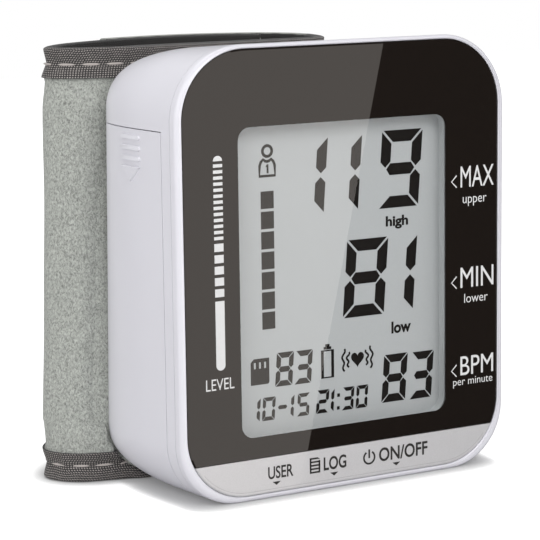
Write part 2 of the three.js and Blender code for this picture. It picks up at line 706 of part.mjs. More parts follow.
add('pump_motor', cut(
  rodZ(pumpRadius, pumpX, pumpY, pump.motorBottom, motorTop),
  rodZ(
    pump.shaft + clear.running, pumpX, pumpY,
    motorTop - shaftBury - clear.running, motorTop + clear.overrun, counts.small,
  ),
), finish.metal, 0.35, 1);
add('pump_body', cut(
  rodZ(pumpRadius, pumpX, pumpY, ...pumpBody),
  rodZ(pumpChamber, pumpX, pumpY, pumpBody[0] - clear.overrun, pumpBody[1] + clear.overrun),
), finish.dark, 0.5);
add('pump_rotor', join(
  rodZ(pump.shaft, pumpX, pumpY, motorTop - shaftBury, rotorDisc[1], counts.small),
  rodZ(eccentric, pumpX + pump.throw, pumpY, ...rotorDisc),
), finish.metal, 0.3, 1);
add('pump_diaphragm', rodZ(pumpRadius, pumpX, pumpY, ...diaphragmZ), finish.dark, 0.9);
add('pump_cap', cut(
  join(
    rodZ(pumpRadius, pumpX, pumpY, ...pumpCap),
    rodZ(nozzle.radius, pumpX, pumpY, pumpCap[1] - clear.overrun, pumpOutlet, counts.small),
  ),
  rodZ(nozzle.bore, pumpX, pumpY, pumpCap[0] - clear.overrun, pumpOutlet + clear.overrun, counts.small),
), finish.shell, 0.5);

// Flat two-core lead from the motor's underside to the board.
function pumpLead() {
  const low = pump.motorBottom - lead.drop;
  const path = new THREE.CatmullRomCurve3([
    new THREE.Vector3(pumpX, pumpY, pump.motorBottom - clear.running),
    new THREE.Vector3(pumpX, pumpY - lead.width, low),
    new THREE.Vector3(pumpX, (pumpY + mountedY) / 2, low - lead.width / 2),
    new THREE.Vector3(pumpX, mountedY, low),
  ]);
  const section = new THREE.Shape();
  section.moveTo(-lead.width / 2, -lead.thickness / 2);
  section.lineTo(lead.width / 2, -lead.thickness / 2);
  section.lineTo(lead.width / 2, lead.thickness / 2);
  section.lineTo(-lead.width / 2, lead.thickness / 2);
  return new THREE.ExtrudeGeometry(section, {
    steps: lead.steps, bevelEnabled: false, extrudePath: path,
  });
}

add('pump_lead', pumpLead(), finish.fabric, 0.6);

// Exhaust valve: bracket, coil, plunger and outlet cap.
const coilZ = [
  valve.bottom + valve.plate + clear.running,
  valve.bottom + valve.plate + clear.running + valve.coilHeight,
];
const bracketTop = [coilZ[1] + clear.running, coilZ[1] + clear.running + valve.plate];
const bracketSide = valveX + valve.coilRadius + clear.running;
const valveCap = [bracketTop[1] + clear.running, bracketTop[1] + clear.running + valve.capHeight];
const valveOutlet = valveCap[1] + nozzle.length;
const plungerHead = [valveCap[0] + valve.stroke, valveCap[0] + valve.stroke + valve.headHeight];

function valveFrame() {
  const y = [mountedY, pumpY + valve.coilRadius];
  const x = [valveX - valve.coilRadius, bracketSide + valve.plate];
  return cut(
    join(
      block(x, y, [valve.bottom, valve.bottom + valve.plate]),
      block([bracketSide, bracketSide + valve.plate], y, [valve.bottom, bracketTop[1]]),
      block(x, y, bracketTop),
    ),
    rodZ(valve.bore, valveX, pumpY, bracketTop[0] - clear.overrun, bracketTop[1] + clear.overrun),
  );
}

add('valve_frame', valveFrame(), finish.metal, 0.4, 1);
add('valve_coil', cut(
  rodZ(valve.coilRadius, valveX, pumpY, ...coilZ),
  rodZ(valve.bore, valveX, pumpY, coilZ[0] + clear.overrun, coilZ[1] + clear.overrun),
), finish.metal, 0.4);
add('valve_plunger', join(
  rodZ(valve.plunger, valveX, pumpY, coilZ[1] - valve.plungerBury, plungerHead[0] + clear.running),
  rodZ(valve.headRadius, valveX, pumpY, ...plungerHead),
), finish.metal, 0.35, 1);
add('valve_cap', cut(
  join(
    block(
      [valveX - valve.capSize / 2, valveX + valve.capSize / 2],
      [pumpY - valve.capSize / 2, pumpY + valve.capSize / 2],
      valveCap,
    ),
    rodZ(nozzle.radius, valveX, pumpY, valveCap[1] - clear.overrun, valveOutlet, counts.small),
  ),
  rodZ(valve.cavity, valveX, pumpY, valveCap[0] - clear.overrun, valveCap[0] + valve.cavityHeight),
  rodZ(nozzle.bore, valveX, pumpY, valveCap[0], valveOutlet + clear.overrun, counts.small),
), finish.shell, 0.5);

// Manifold: an upright block with a bore and four nozzles.
const manifoldBack = pumpY + manifold.backDepth;
const nippleTip = manifoldBack + nozzle.length;

function airManifold() {
  const inside = [manifoldX[1] - clear.overrun, sideTip];
  const body = join(
    block(manifoldX, [mountedY, manifoldBack], manifoldZ),
    rodZ(nozzle.radius, pumpX, pumpY, manifoldInlet, manifoldZ[0] + clear.overrun, counts.small),
    rodX(nozzle.radius, pumpY, valveZ, ...inside, counts.small),
    rodX(nozzle.radius, pumpY, sensorZ, ...inside, counts.small),
    rodY(
      nozzle.radius, pumpX, nippleZ, manifoldBack - clear.overrun, nippleTip, counts.small,
    ),
  );
  const sideBore = [pumpX, sideTip + clear.overrun];
  return cut(
    body,
    rodZ(
      nozzle.bore, pumpX, pumpY, manifoldInlet - clear.overrun, nippleZ + nozzle.bore,
      counts.small,
    ),
    rodX(nozzle.bore, pumpY, valveZ, ...sideBore, counts.small),
    rodX(nozzle.bore, pumpY, sensorZ, ...sideBore, counts.small),
    rodY(nozzle.bore, pumpX, nippleZ, pumpY, nippleTip + clear.overrun, counts.small),
  );
}

add('air_manifold', airManifold(), finish.shell, 0.5);

// Soft tubes pushed over the nozzles.
const tubeBore = nozzle.radius + clear.running;
const tubeOuter = tubeBore + tube.wall;

add('pump_tube', cut(
  rodZ(tubeOuter, pumpX, pumpY, pumpOutlet - tube.overlap, manifoldInlet + tube.overlap, counts.tube),
  rodZ(
    tubeBore, pumpX, pumpY,
    pumpOutlet - tube.overlap - clear.overrun, manifoldInlet + tube.overlap + clear.overrun, counts.tube,
  ),
), finish.rubber, 0.7);

function ringSection(outer, inner) {
  const section = new THREE.Shape();
  section.absarc(0, 0, outer, 0, Math.PI * 2, false);
  const hole = new THREE.Path();
  hole.absarc(0, 0, inner, 0, Math.PI * 2, true);
  section.holes.push(hole);
  return section;
}

// Along the top from the manifold, round one bend, down to the valve.
function valveTube() {
  const from = new THREE.Vector3(sideTip - tube.overlap, pumpY, valveZ);
  const bendStart = new THREE.Vector3(valveX - airways.bend, pumpY, valveZ);
  const corner = new THREE.Vector3(valveX, pumpY, valveZ);
  const bendEnd = new THREE.Vector3(valveX, pumpY, valveZ - airways.bend);
  const to = new THREE.Vector3(valveX, pumpY, valveOutlet - tube.overlap);
  const path = new THREE.CurvePath();
  path.add(new THREE.LineCurve3(from, bendStart));
  path.add(new THREE.QuadraticBezierCurve3(bendStart, corner, bendEnd));
  path.add(new THREE.LineCurve3(bendEnd, to));
  return new THREE.ExtrudeGeometry(ringSection(tubeOuter, tubeBore), {
    steps: counts.round, curveSegments: counts.tube / 2, bevelEnabled: false, extrudePath: path,
  });
}

add('valve_tube', valveTube(), finish.rubber, 0.7);
const sensorTubeX = [sideTip - tube.overlap, sensorNose + tube.overlap];
add('sensor_tube', cut(
  rodX(tubeOuter, pumpY, sensorZ, ...sensorTubeX, counts.tube),
  rodX(tubeBore, pumpY, sensorZ, ...grown(sensorTubeX, clear.overrun), counts.tube),
), finish.rubber, 0.7);

// Cuff layers as distances inwards from the outer face.
const fleeceBack = cuff.fleece;
const stiffenerFront = fleeceBack + cuff.layerGap;
const bladderFront = stiffenerFront + cuff.stiffener + cuff.layerGap;
const bladderBack = bladderFront + cuff.bladder;
const padding = bladderBack - fleeceBack;
const fabricThickness = cuff.fleece + cuff.layerGap + cuff.lining;
const tapeGrowth = cuff.bindingGap + cuff.bindingThickness;
const tapeInside = cuff.bindingThickness + cuff.rimGap;
const fabricZ = [tapeInside, cuffHeight - tapeInside];

// Nipple from the manifold through the back of the casing into the bladder.
function cuffNipple() {
  const front = nippleTip - tube.overlap;
  const flangeY = grown([cuffFront + fleeceBack, cuffFront + bladderFront], -clear.seat);
  return cut(
    join(
      rodY(nipple.radius, pumpX, nippleZ, front, flangeY[1]),
      rodY(nipple.flange, pumpX, nippleZ, ...flangeY),
    ),
    rodY(tubeBore, pumpX, nippleZ, front - clear.overrun, nippleTip + clear.running),
    rodY(nipple.bore, pumpX, nippleZ, front, caseSize.depth + cuffFront, counts.small),
  );
}

add('cuff_nipple', cuffNipple(), finish.shell, 0.5);

// Plate in the pocket at the back of the casing, with two clips through the wall.
function cuffPlate() {
  const front = caseSize.depth - plate.sunk;
  const lipY = [backInner - clear.seat - plate.clipLipDepth, backInner - clear.seat];
  const clips = clipZ.flatMap(([low, high], index) => [
    block(clipX, [lipY[0], front + plate.sunk], [low, high]),
    block(clipX, lipY, index === 0 ? [low - plate.clipLip, high] : [low, high + plate.clipLip]),
  ]);
  return join(block(plateX, [front, cuffFront - clear.seat], plateZ), ...clips);
}

add('cuff_plate', cuffPlate(), finish.dark, 0.6);

// Plan line of the cuff's outer face, from its right-hand end round the front and the left to its tip.
const cuffLeft = pumpX - cuff.width * cuff.nippleShare;
const planPoint = ([across, back]) => new THREE.Vector3(
  cuffLeft + cuff.width * across, cuffFront + cuff.depth * back, 0,
);
const lineThrough = (points) => new THREE.CatmullRomCurve3(points, false, 'centripetal');
const sleeveLine = lineThrough(sleeveShares.map(planPoint));

function movedIn(line, share, distance) {
  const place = line.getPointAt(share);
  const along = line.getTangentAt(share);
  return new THREE.Vector3(place.x + along.y * distance, place.y - along.x * distance, 0);
}

// Upright wall that follows a plan line between two distances inwards from it.
function upright(line, [from, to], outer, inner, [bottom, top]) {
  const steps = Math.max(1, Math.round(counts.wrap * (to - from)));
  const shares = Array.from({ length: steps + 1 }, (_, step) => from + (to - from) * step / steps);
  const outside = shares.map((share) => movedIn(line, share, outer(share)));
  const inside = shares.map((share) => movedIn(line, share, inner(share)));
  const shape = new THREE.Shape([...outside, ...inside.reverse()]);
  const geometry = new THREE.ExtrudeGeometry(shape, { depth: top - bottom, bevelEnabled: false });
  return geometry.translate(0, 0, bottom);
}

// The near wall is padded; the rest is fabric alone.
function padAt(share) {
  const room = Math.min(share - pad.fromShare, pad.toShare - share) / pad.blendShare;
  return padding * THREE.MathUtils.smoothstep(room, 0, 1);
}

const at = (distance) => () => distance;
const sleeveInner = (share) => fabricThickness + padAt(share);
const sleeveShare = (length) => length / sleeveLine.getLength();
const nearWallDepth = [caseSize.depth, cuffFront + bladderBack - cuff.bladderSkin];
const holeAt = (radius) => rodY(radius, pumpX, nippleZ, ...nearWallDepth);
const padRange = [pad.layersFromShare, pad.layersToShare];

function bladderBag() {
  const seam = sleeveShare(cuff.bladderSeam);
  const bagZ = grown(fabricZ, -cuff.bladderMargin);
  return cut(
    upright(sleeveLine, padRange, at(bladderFront), at(bladderBack), bagZ),
    upright(
      sleeveLine, grown(padRange, -seam), at(bladderFront + cuff.bladderSkin),
      at(bladderBack - cuff.bladderSkin), grown(bagZ, -cuff.bladderSeam),
    ),
    holeAt(nipple.bore),
  );
}

function sleeveBinding(tapeZ, room) {
  return cut(
    upright(
      sleeveLine, grown([0, 1], -sleeveShare(cuff.bindingGap)), at(-tapeGrowth),
      (share) => sleeveInner(share) + tapeGrowth, tapeZ,
    ),
    upright(
      sleeveLine, [0, 1], at(-cuff.bindingGap), (share) => sleeveInner(share) + cuff.bindingGap, room,
    ),
  );
}

const upperTape = [cuffHeight - cuff.bindingHeight, cuffHeight];
const lowerTape = [0, cuff.bindingHeight];

add('cuff_fleece', cut(
  upright(sleeveLine, [0, 1], at(0), at(fleeceBack), fabricZ), holeAt(nipple.radius + clear.running),
), finish.fleece, 0.95);
add('cuff_stiffener', cut(
  upright(
    sleeveLine, padRange, at(stiffenerFront), at(stiffenerFront + cuff.stiffener),
    grown(fabricZ, -cuff.stiffenerMargin),
  ),
  holeAt(nipple.flange + clear.running),
), finish.clear, 0.4);
add('cuff_bladder', bladderBag(), finish.rubber, 0.8);
add('cuff_lining', upright(
  sleeveLine, [0, 1], (share) => sleeveInner(share) - cuff.lining, sleeveInner, fabricZ,
), finish.fabric, 0.95);
add('cuff_binding_top', sleeveBinding(
  upperTape, [upperTape[0] - clear.overrun, cuffHeight - cuff.bindingThickness],
), finish.fabric, 0.9);
add('cuff_binding_bottom', sleeveBinding(
  lowerTape, [cuff.bindingThickness, lowerTape[1] + clear.overrun],
), finish.fabric, 0.9);

// Tail of the cuff: it starts at the right-hand end and closes over the far wall.
const tailGap = cuff.hookThickness + clear.running + cuff.layerGap;
const overlapPoints = Array.from({ length: counts.overlap + 1 }, (_, step) => {
  const span = tail.fromShare - tail.toShare;
  const share = tail.toShare + span * step / counts.overlap;
  return movedIn(sleeveLine, share, -fabricThickness - tailGap);
});
const tailLine = lineThrough([...overlapPoints, ...tailStartShares.map(planPoint).reverse()]);
const tailShare = (length) => length / tailLine.getLength();
const tailFabric = [tailShare(tapeInside), 1];
const liningFront = cuff.fleece + cuff.layerGap;

function tailBinding() {
  const folded = [tailShare(cuff.bindingThickness), 1];
  const bare = [tailShare(cuff.bindingHeight), 1];
  return cut(
    upright(
      tailLine, [0, 1 - tailShare(cuff.bindingGap)], at(-tapeGrowth), at(fabricThickness + tapeGrowth),
      [0, cuffHeight],
    ),
    upright(
      tailLine, folded, at(-cuff.bindingGap), at(fabricThickness + cuff.bindingGap),
      [cuff.bindingThickness, cuffHeight - cuff.bindingThickness],
    ),
    upright(
      tailLine, bare, at(-tapeGrowth - clear.overrun), at(fabricThickness + tapeGrowth + clear.overrun),
      [lowerTape[1], upperTape[0]],
    ),
  );
}

add('tail_fleece', upright(tailLine, tailFabric, at(0), at(cuff.fleece), fabricZ), finish.fleece, 0.95);
add('tail_lining', upright(
  tailLine, tailFabric, at(liningFront), at(fabricThickness), fabricZ,
), finish.fabric, 0.95);
add('tail_binding', tailBinding(), finish.fabric, 0.9);
const hookFrom = cuff.bindingHeight + cuff.hookMargin;
add('hook_patch', upright(
  tailLine, [tailShare(hookFrom), tailShare(hookFrom + cuff.hookLength)],
  at(fabricThickness + cuff.layerGap), at(fabricThickness + cuff.layerGap + cuff.hookThickness),
  grown([lowerTape[1], upperTape[0]], -cuff.hookMargin),
), finish.dark, 0.9);

// The origin lies on the floor, under the middle of the whole.
const bounds = new THREE.Box3().setFromObject(parts);
const middle = bounds.getCenter(new THREE.Vector3());
for (const mesh of parts.children) mesh.geometry.translate(-middle.x, -middle.y, -bounds.min.z);

export default parts;
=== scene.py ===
"""Wrist blood pressure monitor: its looks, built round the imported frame."""

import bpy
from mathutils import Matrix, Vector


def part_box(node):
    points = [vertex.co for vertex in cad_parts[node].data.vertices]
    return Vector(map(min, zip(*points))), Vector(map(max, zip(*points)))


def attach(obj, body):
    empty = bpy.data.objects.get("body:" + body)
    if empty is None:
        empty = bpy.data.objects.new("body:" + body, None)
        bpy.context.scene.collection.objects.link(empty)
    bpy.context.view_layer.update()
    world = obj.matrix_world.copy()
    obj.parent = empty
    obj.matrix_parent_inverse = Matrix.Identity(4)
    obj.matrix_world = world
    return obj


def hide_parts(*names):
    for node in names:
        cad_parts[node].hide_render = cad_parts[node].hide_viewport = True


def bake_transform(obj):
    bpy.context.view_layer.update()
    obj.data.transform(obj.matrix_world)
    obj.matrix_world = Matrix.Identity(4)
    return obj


bl_info = {
    "name": "Wrist blood pressure monitor",
    "version": (1, 0, 0),
    "blender": (4, 5, 0),
    "location": "3D View > Sidebar > Monitor",
    "description": "Builds the looks of a wrist blood pressure monitor round its packed frame",
    "category": "Object",
}

import math
from contextlib import contextmanager
from types import SimpleNamespace

import bmesh
import bpy
import numpy as np
from mathutils import Matrix, Vector

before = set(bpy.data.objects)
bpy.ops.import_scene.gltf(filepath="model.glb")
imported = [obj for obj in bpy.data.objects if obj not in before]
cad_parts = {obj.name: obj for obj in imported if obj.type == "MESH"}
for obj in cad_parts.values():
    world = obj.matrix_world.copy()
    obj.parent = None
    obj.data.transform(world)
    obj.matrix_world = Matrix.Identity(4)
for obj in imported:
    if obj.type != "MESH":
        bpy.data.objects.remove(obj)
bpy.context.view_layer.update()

MM = 0.001
FACE_LOW, FACE_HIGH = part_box("front_case")
ORIGIN = Vector(((FACE_LOW[0] + FACE_HIGH[0]) / 2, FACE_LOW[1], 0))
OVERRUN = 1.0


def at(x, y, z):
    """A place in metres, from millimetres: X from the face's middle, Y back from the face, Z up."""
    return ORIGIN + Vector((x, y, z)) * MM


def srgb(red, green, blue):
    """A colour as Blender keeps it, from values of 0 to 255 on a screen."""
    shares = [value / 255 for value in (red, green, blue)]
    return tuple(s / 12.92 if s <= 0.04045 else ((s + 0.055) / 1.055) ** 2.4 for s in shares)


def span(start, end, steps):
    """Even steps from start to end, both included."""
    return [start + (end - start) * i / steps for i in range(steps + 1)]


# Settings

def length(name, description, millimetres):
    """A setting for a length, given in millimetres and kept in metres."""
    return bpy.props.FloatProperty(
        name=name, description=description, default=millimetres * MM, unit='LENGTH', precision=5
    )


def colour(name, description, red, green, blue):
    """A setting for a colour, given as it shows on a screen."""
    return bpy.props.FloatVectorProperty(
        name=name, description=description, default=srgb(red, green, blue), subtype='COLOR',
        min=0, max=1,
    )


class CasingSizes(bpy.types.PropertyGroup):
    """Sizes of the casing and its battery door."""

    width: length("Width", "Casing's width at the face", 60.5)
    height: length("Height", "Casing's height at the face", 71.8)
    depth: length("Depth", "Casing's depth from face to back", 26)
    wall: length("Wall", "Thickness of the casing's wall", 1.6)
    back_wall: length("Back wall", "Thickness of the casing's back", 2)
    side_swell: length("Side swell", "How far each side stands out more at the back", 2.35)
    top_fall: length("Top fall", "How far the top drops towards the back", 2.1)
    rim_round: length("Rim round", "Radius of the front rim's round", 0.9)
    rear_round: length("Rear round", "How far the skin draws in at the back", 3.5)
    rear_run: length("Rear run", "Depth over which the skin draws in", 16)
    rear_lean: length("Rear lean", "How far the back's sides stand out more at the foot", 1.1)
    top_radius: length("Top radius", "Radius of the face's upper corners", 11.9)
    bottom_radius: length("Bottom radius", "Radius of the face's lower corners", 10.2)
    rear_top_radius: length("Rear top radius", "Radius of the back's upper corners", 8.4)
    rear_bottom_radius: length("Rear bottom radius", "Radius of the back's lower corners", 9.2)
    parting: length("Parting", "Depth of the joint between front frame and rear shell", 1.8)
    parting_gap: length("Parting gap", "Width of that joint", 0.1)
    door_front: length("Door front", "Depth at which the battery door starts", 4.4)
    door_top: length("Door top", "Height of the battery door's upper edge", 58.65)
    door_return: length("Door return", "Distance of the door's rear edge from the middle", 27.6)
    door_foot: length("Door foot", "Distance of the door's lower edge from the middle", 21.5)
    door_foot_height: length("Door foot height", "Height up to which the door goes under", 6.5)


class FaceSizes(bpy.types.PropertyGroup):
    """Sizes of the lens, the key strip and the display."""

    side_margin: length("Side margin", "Rim left bare beside the panel", 1.12)
    top_margin: length("Top margin", "Rim left bare above the panel", 0.75)
    bottom_margin: length("Bottom margin", "Rim left bare below the panel", 0.9)
    top_radius: length("Top radius", "Radius of the panel's upper corners", 10.8)
    bottom_radius: length("Bottom radius", "Radius of the panel's lower corners", 10.6)
    setback: length("Setback", "How far the panel lies behind the rim", 0.2)
    thickness: length("Thickness", "Thickness of the panel", 0.95)
    strip_top: length("Strip top", "Height of the line between strip and lens", 6.76)
    split_gap: length("Split gap", "Gap between strip and lens", 0.12)
    window_left: length("Window left", "Left edge of the window from the middle", -19.555)
    window_right: length("Window right", "Right edge of the window from the middle", 18.75)
    window_bottom: length("Window bottom", "Lower edge of the window", 10.22)
    window_top: length("Window top", "Upper edge of the window", 59.05)
    window_radius: length("Window radius", "Radius of the window's corners", 2.1)
    ink: length("Ink", "Thickness of printed marks", 0.015)
    segment: length("Segment", "How far the display's segments stand out", 0.02)


class CuffSizes(bpy.types.PropertyGroup):
    """Sizes of the cuff's cloth, tape and stitches."""

    height: length("Height", "Height of the cuff", 70.4)
    fleece: length("Fleece", "Thickness of the brushed outer cloth", 0.7)
    lining: length("Lining", "Thickness of the inner cloth", 0.5)
    layer_gap: length("Layer gap", "Gap between layers", 0.3)
    fabric: length("Fabric", "Thickness of the wall without padding", 1.5)
    padding: length("Padding", "Extra thickness over the air bladder", 2.1)
    binding: length("Binding", "Height of the tape on each rim", 4.9)
    tape: length("Tape", "Thickness of the tape", 0.36)
    rim_draw: length("Rim draw", "How far the rim is drawn in under the tape", 0.12)
    seam_draw: length("Seam draw", "How far the stitches pull the wall in", 0.8)
    edge_stand: length("Edge stand", "How far the tape's lower edge stands off the wall", 0.22)
    flare_side: length("Side flare", "How far the lower rim's corner stands out to the side", 4.2)
    flare_front: length("Front flare", "How far the lower rim's corner stands out ahead", 5.3)
    seam: length("Seam", "Distance of the stitches from the rim", 2.7)
    stitch: length("Stitch", "Length of one stitch", 3.1)
    stitch_pitch: length("Stitch pitch", "Distance from stitch to stitch", 3.9)
    thread: length("Thread", "Thickness of the sewing thread", 0.44)


class Colours(bpy.types.PropertyGroup):
    """Colours of the monitor's finishes."""

    shell: colour("Shell", "White plastic", 226, 225, 232)
    lens: colour("Lens", "Black mask of the lens", 28, 23, 20)
    strip: colour("Strip", "Silver key strip", 202, 201, 203)
    display: colour("Display", "Display's background", 183, 186, 187)
    segment: colour("Segment", "Display's dark segments", 26, 23, 21)
    light_print: colour("Light print", "Pale print on the lens", 222, 222, 222)
    dark_print: colour("Dark print", "Dark print on the strip", 32, 30, 29)
    fleece: colour("Fleece", "Brushed outer cloth", 169, 172, 166)
    cloth: colour("Cloth", "Dark lining and tape", 62, 61, 61)
    thread: colour("Thread", "Sewing thread", 188, 180, 176)
    dark: colour("Dark plastic", "Dark moulded plastic", 44, 45, 47)
    board: colour("Board", "Circuit board", 40, 92, 60)
    cell: colour("Cell", "Sleeve of the battery cells", 70, 74, 80)
    copper: colour("Copper", "Wound wire", 178, 98, 52)
    silicone: colour("Silicone", "Soft tubes", 220, 218, 210)


def in_mm(group):
    """A settings group's lengths in millimetres."""
    return SimpleNamespace(**{key: getattr(group, key) / MM for key in group.__annotations__})


# Materials

class Signal:
    """One socket of a node tree, on which sums are written as plain expressions."""

    def __init__(self, owner, socket):
        self.owner = owner
        self.socket = socket

    def beside(self, key):
        """Another output of the same node."""
        return Signal(self.owner, self.socket.node.outputs[key])

    def maths(self, operation, first, second=None):
        """A Math node on one or two numbers or signals."""
        values = {0: first} if second is None else {0: first, 1: second}
        return self.owner.node("ShaderNodeMath", {"operation": operation}, values)

    def __add__(self, other):
        return self.maths('ADD', self, other)

    def __sub__(self, other):
        return self.maths('SUBTRACT', self, other)

    def __mul__(self, other):
        return self.maths('MULTIPLY', self, other)

    def __rsub__(self, other):
        return self.maths('SUBTRACT', other, self)

    __radd__ = __add__
    __rmul__ = __mul__

    def above(self, other):
        return self.maths('GREATER_THAN', self, other)

    def most(self, other):
        return self.maths('MAXIMUM', self, other)

    def wave(self):
        return self.maths('SINE', self)

    def size(self):
        return self.maths('ABSOLUTE', self)


class NodeTree:
    """A node tree, with one method that adds any node."""

    def __init__(self, tree):
        self.tree = tree
        self.tree.nodes.clear()

    def node(self, kind, settings=None, values=None, output=0):
        """Adds a node with its settings, and the values or links of its sockets."""
        made = self.tree.nodes.new(kind)
        for key, value in (settings or {}).items():
            if key == "stops":
                ramp = made.color_ramp
                for place, (position, shade) in enumerate(value):
                    stop = ramp.elements[place] if place < 2 else ramp.elements.new(position)
                    stop.position = position
                    stop.color = (*shade, 1)
            else:
                setattr(made, key, value)
        for key, value in (values or {}).items():
            if isinstance(value, Signal):
                self.tree.links.new(value.socket, made.inputs[key])
            else:
                made.inputs[key].default_value = value
        return Signal(self, made.outputs[output]) if made.outputs else None


class Finish(NodeTree):
    """A material's node tree."""

    def __init__(self, name):
        self.material = bpy.data.materials.new(name)
        self.material.use_nodes = True
        super().__init__(self.material.node_tree)

    def mix(self, factor, low, high, blend='MIX'):
        """Two colours mixed by a factor."""
        values = {0: factor, 6: full(low), 7: full(high)}
        return self.node("ShaderNodeMix", {"data_type": 'RGBA', "blend_type": blend}, values, 2)

    def places(self, kind="Object"):
        """The places on a piece, or its UV map."""
        return self.node("ShaderNodeTexCoord", output=kind)

    def noise(self, places, scale, detail=2.0, roughness=0.5):
        return self.node(
            "ShaderNodeTexNoise", None,
            {"Vector": places, "Scale": scale, "Detail": detail, "Roughness": roughness},
        )

    def bump(self, height, distance, strength=1.0):
        return self.node(
            "ShaderNodeBump", None, {"Height": height, "Distance": distance, "Strength": strength}
        )

    def surface(self, **values):
        """A Principled surface; names of sockets are written with underscores."""
        named = {key.replace("_", " "): value for key, value in values.items()}
        if not isinstance(named["Base Color"], Signal):
            named["Base Color"] = full(named["Base Color"])
        return self.node("ShaderNodeBsdfPrincipled", None, named)

    def done(self, shader):
        """The material, once its shader is linked to its output."""
        self.node("ShaderNodeOutputMaterial", None, {"Surface": shader})
        return self.material


def full(shade):
    """A colour with its fourth number."""
    return shade if isinstance(shade, Signal) else (*tuple(shade)[:3], 1.0)


def tinted(shade, factor):
    """A colour made lighter or darker."""
    return tuple(min(1.0, channel * factor) for channel in tuple(shade)[:3])


def grained(finish, shade, roughness, grain_scale, grain_depth, **more):
    """Moulded plastic: a spark-eroded grain, and a faint cloudiness in its gloss."""
    places = finish.places()
    cloud = finish.noise(places, 90.0, 3.0)
    grain = finish.noise(places, grain_scale, 2.0, 0.6)
    base = finish.mix(cloud, tinted(shade, 0.985), tinted(shade, 1.015))
    return finish.surface(
        Base_Color=base, Roughness=roughness + cloud * 0.08 - 0.04,
        Normal=finish.bump(grain, grain_depth), **more,
    )


ACRYLIC_IOR = 1.49


def lens_mask(finish, colours):
    """Polished acrylic over black print: faint dust in its gloss."""
    dust = finish.noise(finish.places(), 700.0, 4.0, 0.7)
    return finish.surface(
        Base_Color=colours.lens, Roughness=0.002 + dust * 0.008, IOR=ACRYLIC_IOR,
    )


def strip_silver(finish, colours):
    """Silver print behind a polished face: small flakes that lie flat."""
    places = finish.places()
    flakes = finish.node(
        "ShaderNodeTexVoronoi", {"feature": 'F1'}, {"Vector": places, "Scale": 9000.0}, "Color"
    )
    grey = finish.node("ShaderNodeRGBToBW", None, {"Color": flakes})
    base = finish.mix(grey, tinted(colours.strip, 0.95), tinted(colours.strip, 1.05))
    return finish.surface(
        Base_Color=base, Metallic=0.15, Roughness=0.3 + grey * 0.08, Coat_Weight=0.8,
        Coat_Roughness=0.05,
    )


def display_glass(finish, colours):
    """Display: polariser over a grey reflector, with a faint sparkle."""
    places = finish.places()
    sparkle = finish.noise(places, 4200.0, 1.0)
    cloud = finish.noise(places, 40.0, 1.0)
    base = finish.mix(sparkle, tinted(colours.display, 0.97), tinted(colours.display, 1.03))
    shaded = finish.mix(cloud, (0.97, 0.98, 0.98), (1.0, 1.0, 1.0))
    return finish.surface(
        Base_Color=finish.mix(1.0, base, shaded, 'MULTIPLY'), Roughness=0.6 + sparkle * 0.05,
    )


def window_pane(finish, colours):
    """Clear window: seen through, with the gloss of polished acrylic."""
    behind = finish.node("ShaderNodeNewGeometry", output="Backfacing")
    shine = finish.node(
        "ShaderNodeFresnel", None, {"IOR": ACRYLIC_IOR - behind * (ACRYLIC_IOR - 1 / ACRYLIC_IOR)}
    )
    clear = finish.node("ShaderNodeBsdfTransparent", None, {"Color": (1, 1, 1, 1)})
    gloss = finish.node("ShaderNodeBsdfGlossy", None, {"Color": (1, 1, 1, 1), "Roughness": 0.004})
    coated = shine * (1 - behind) * 1.12
    return finish.node("ShaderNodeMixShader", None, {0: coated, 1: clear, 2: gloss})


def ink(finish, shade, roughness=0.4, gloss=0.5):
    """Printed ink: slightly uneven cover."""
    cover = finish.noise(finish.places(), 2500.0, 3.0)
    return finish.surface(
        Base_Color=finish.mix(cover, tinted(shade, 0.94), tinted(shade, 1.04)),
        Roughness=roughness + cover * 0.1, Specular_IOR_Level=gloss,
    )


def brushed_fleece(finish, colours):
    """Brushed loop cloth: matted fibres that catch the light in small tufts."""
    places = finish.places()
    warped = finish.node("ShaderNodeVectorMath", {"operation": 'ADD'}, {
        0: places,
        1: finish.node("ShaderNodeVectorMath", {"operation": 'SCALE'}, {
            0: finish.noise(places, 900.0).beside("Color"),
            "Scale": 0.0012,
        }),
    })
    tall = finish.node("ShaderNodeMapping", None, {"Vector": warped, "Scale": (1.0, 1.0, 0.55)})
    tufts = finish.noise(tall, 3600.0, 3.0, 0.7)
    fibres = finish.noise(warped, 9000.0, 2.0, 0.7)
    mottle = finish.noise(places, 300.0, 3.0, 0.6)
    speck = finish.node(
        "ShaderNodeValToRGB",
        {"stops": [(0.34, tinted(colours.fleece, 0.42)), (0.62, tinted(colours.fleece, 1.3))]},
        {"Fac": tufts * 0.8 + fibres * 0.2},
    )
    clouded = finish.mix(mottle, (0.93, 0.93, 0.93), (1.06, 1.06, 1.06))
    height = tufts * 0.75 + fibres * 0.25
    return finish.surface(
        Base_Color=finish.mix(1.0, speck, clouded, 'MULTIPLY'), Roughness=0.95,
        Sheen_Weight=0.25, Sheen_Roughness=0.5, Normal=finish.bump(height, 0.00022, 0.9),
    )


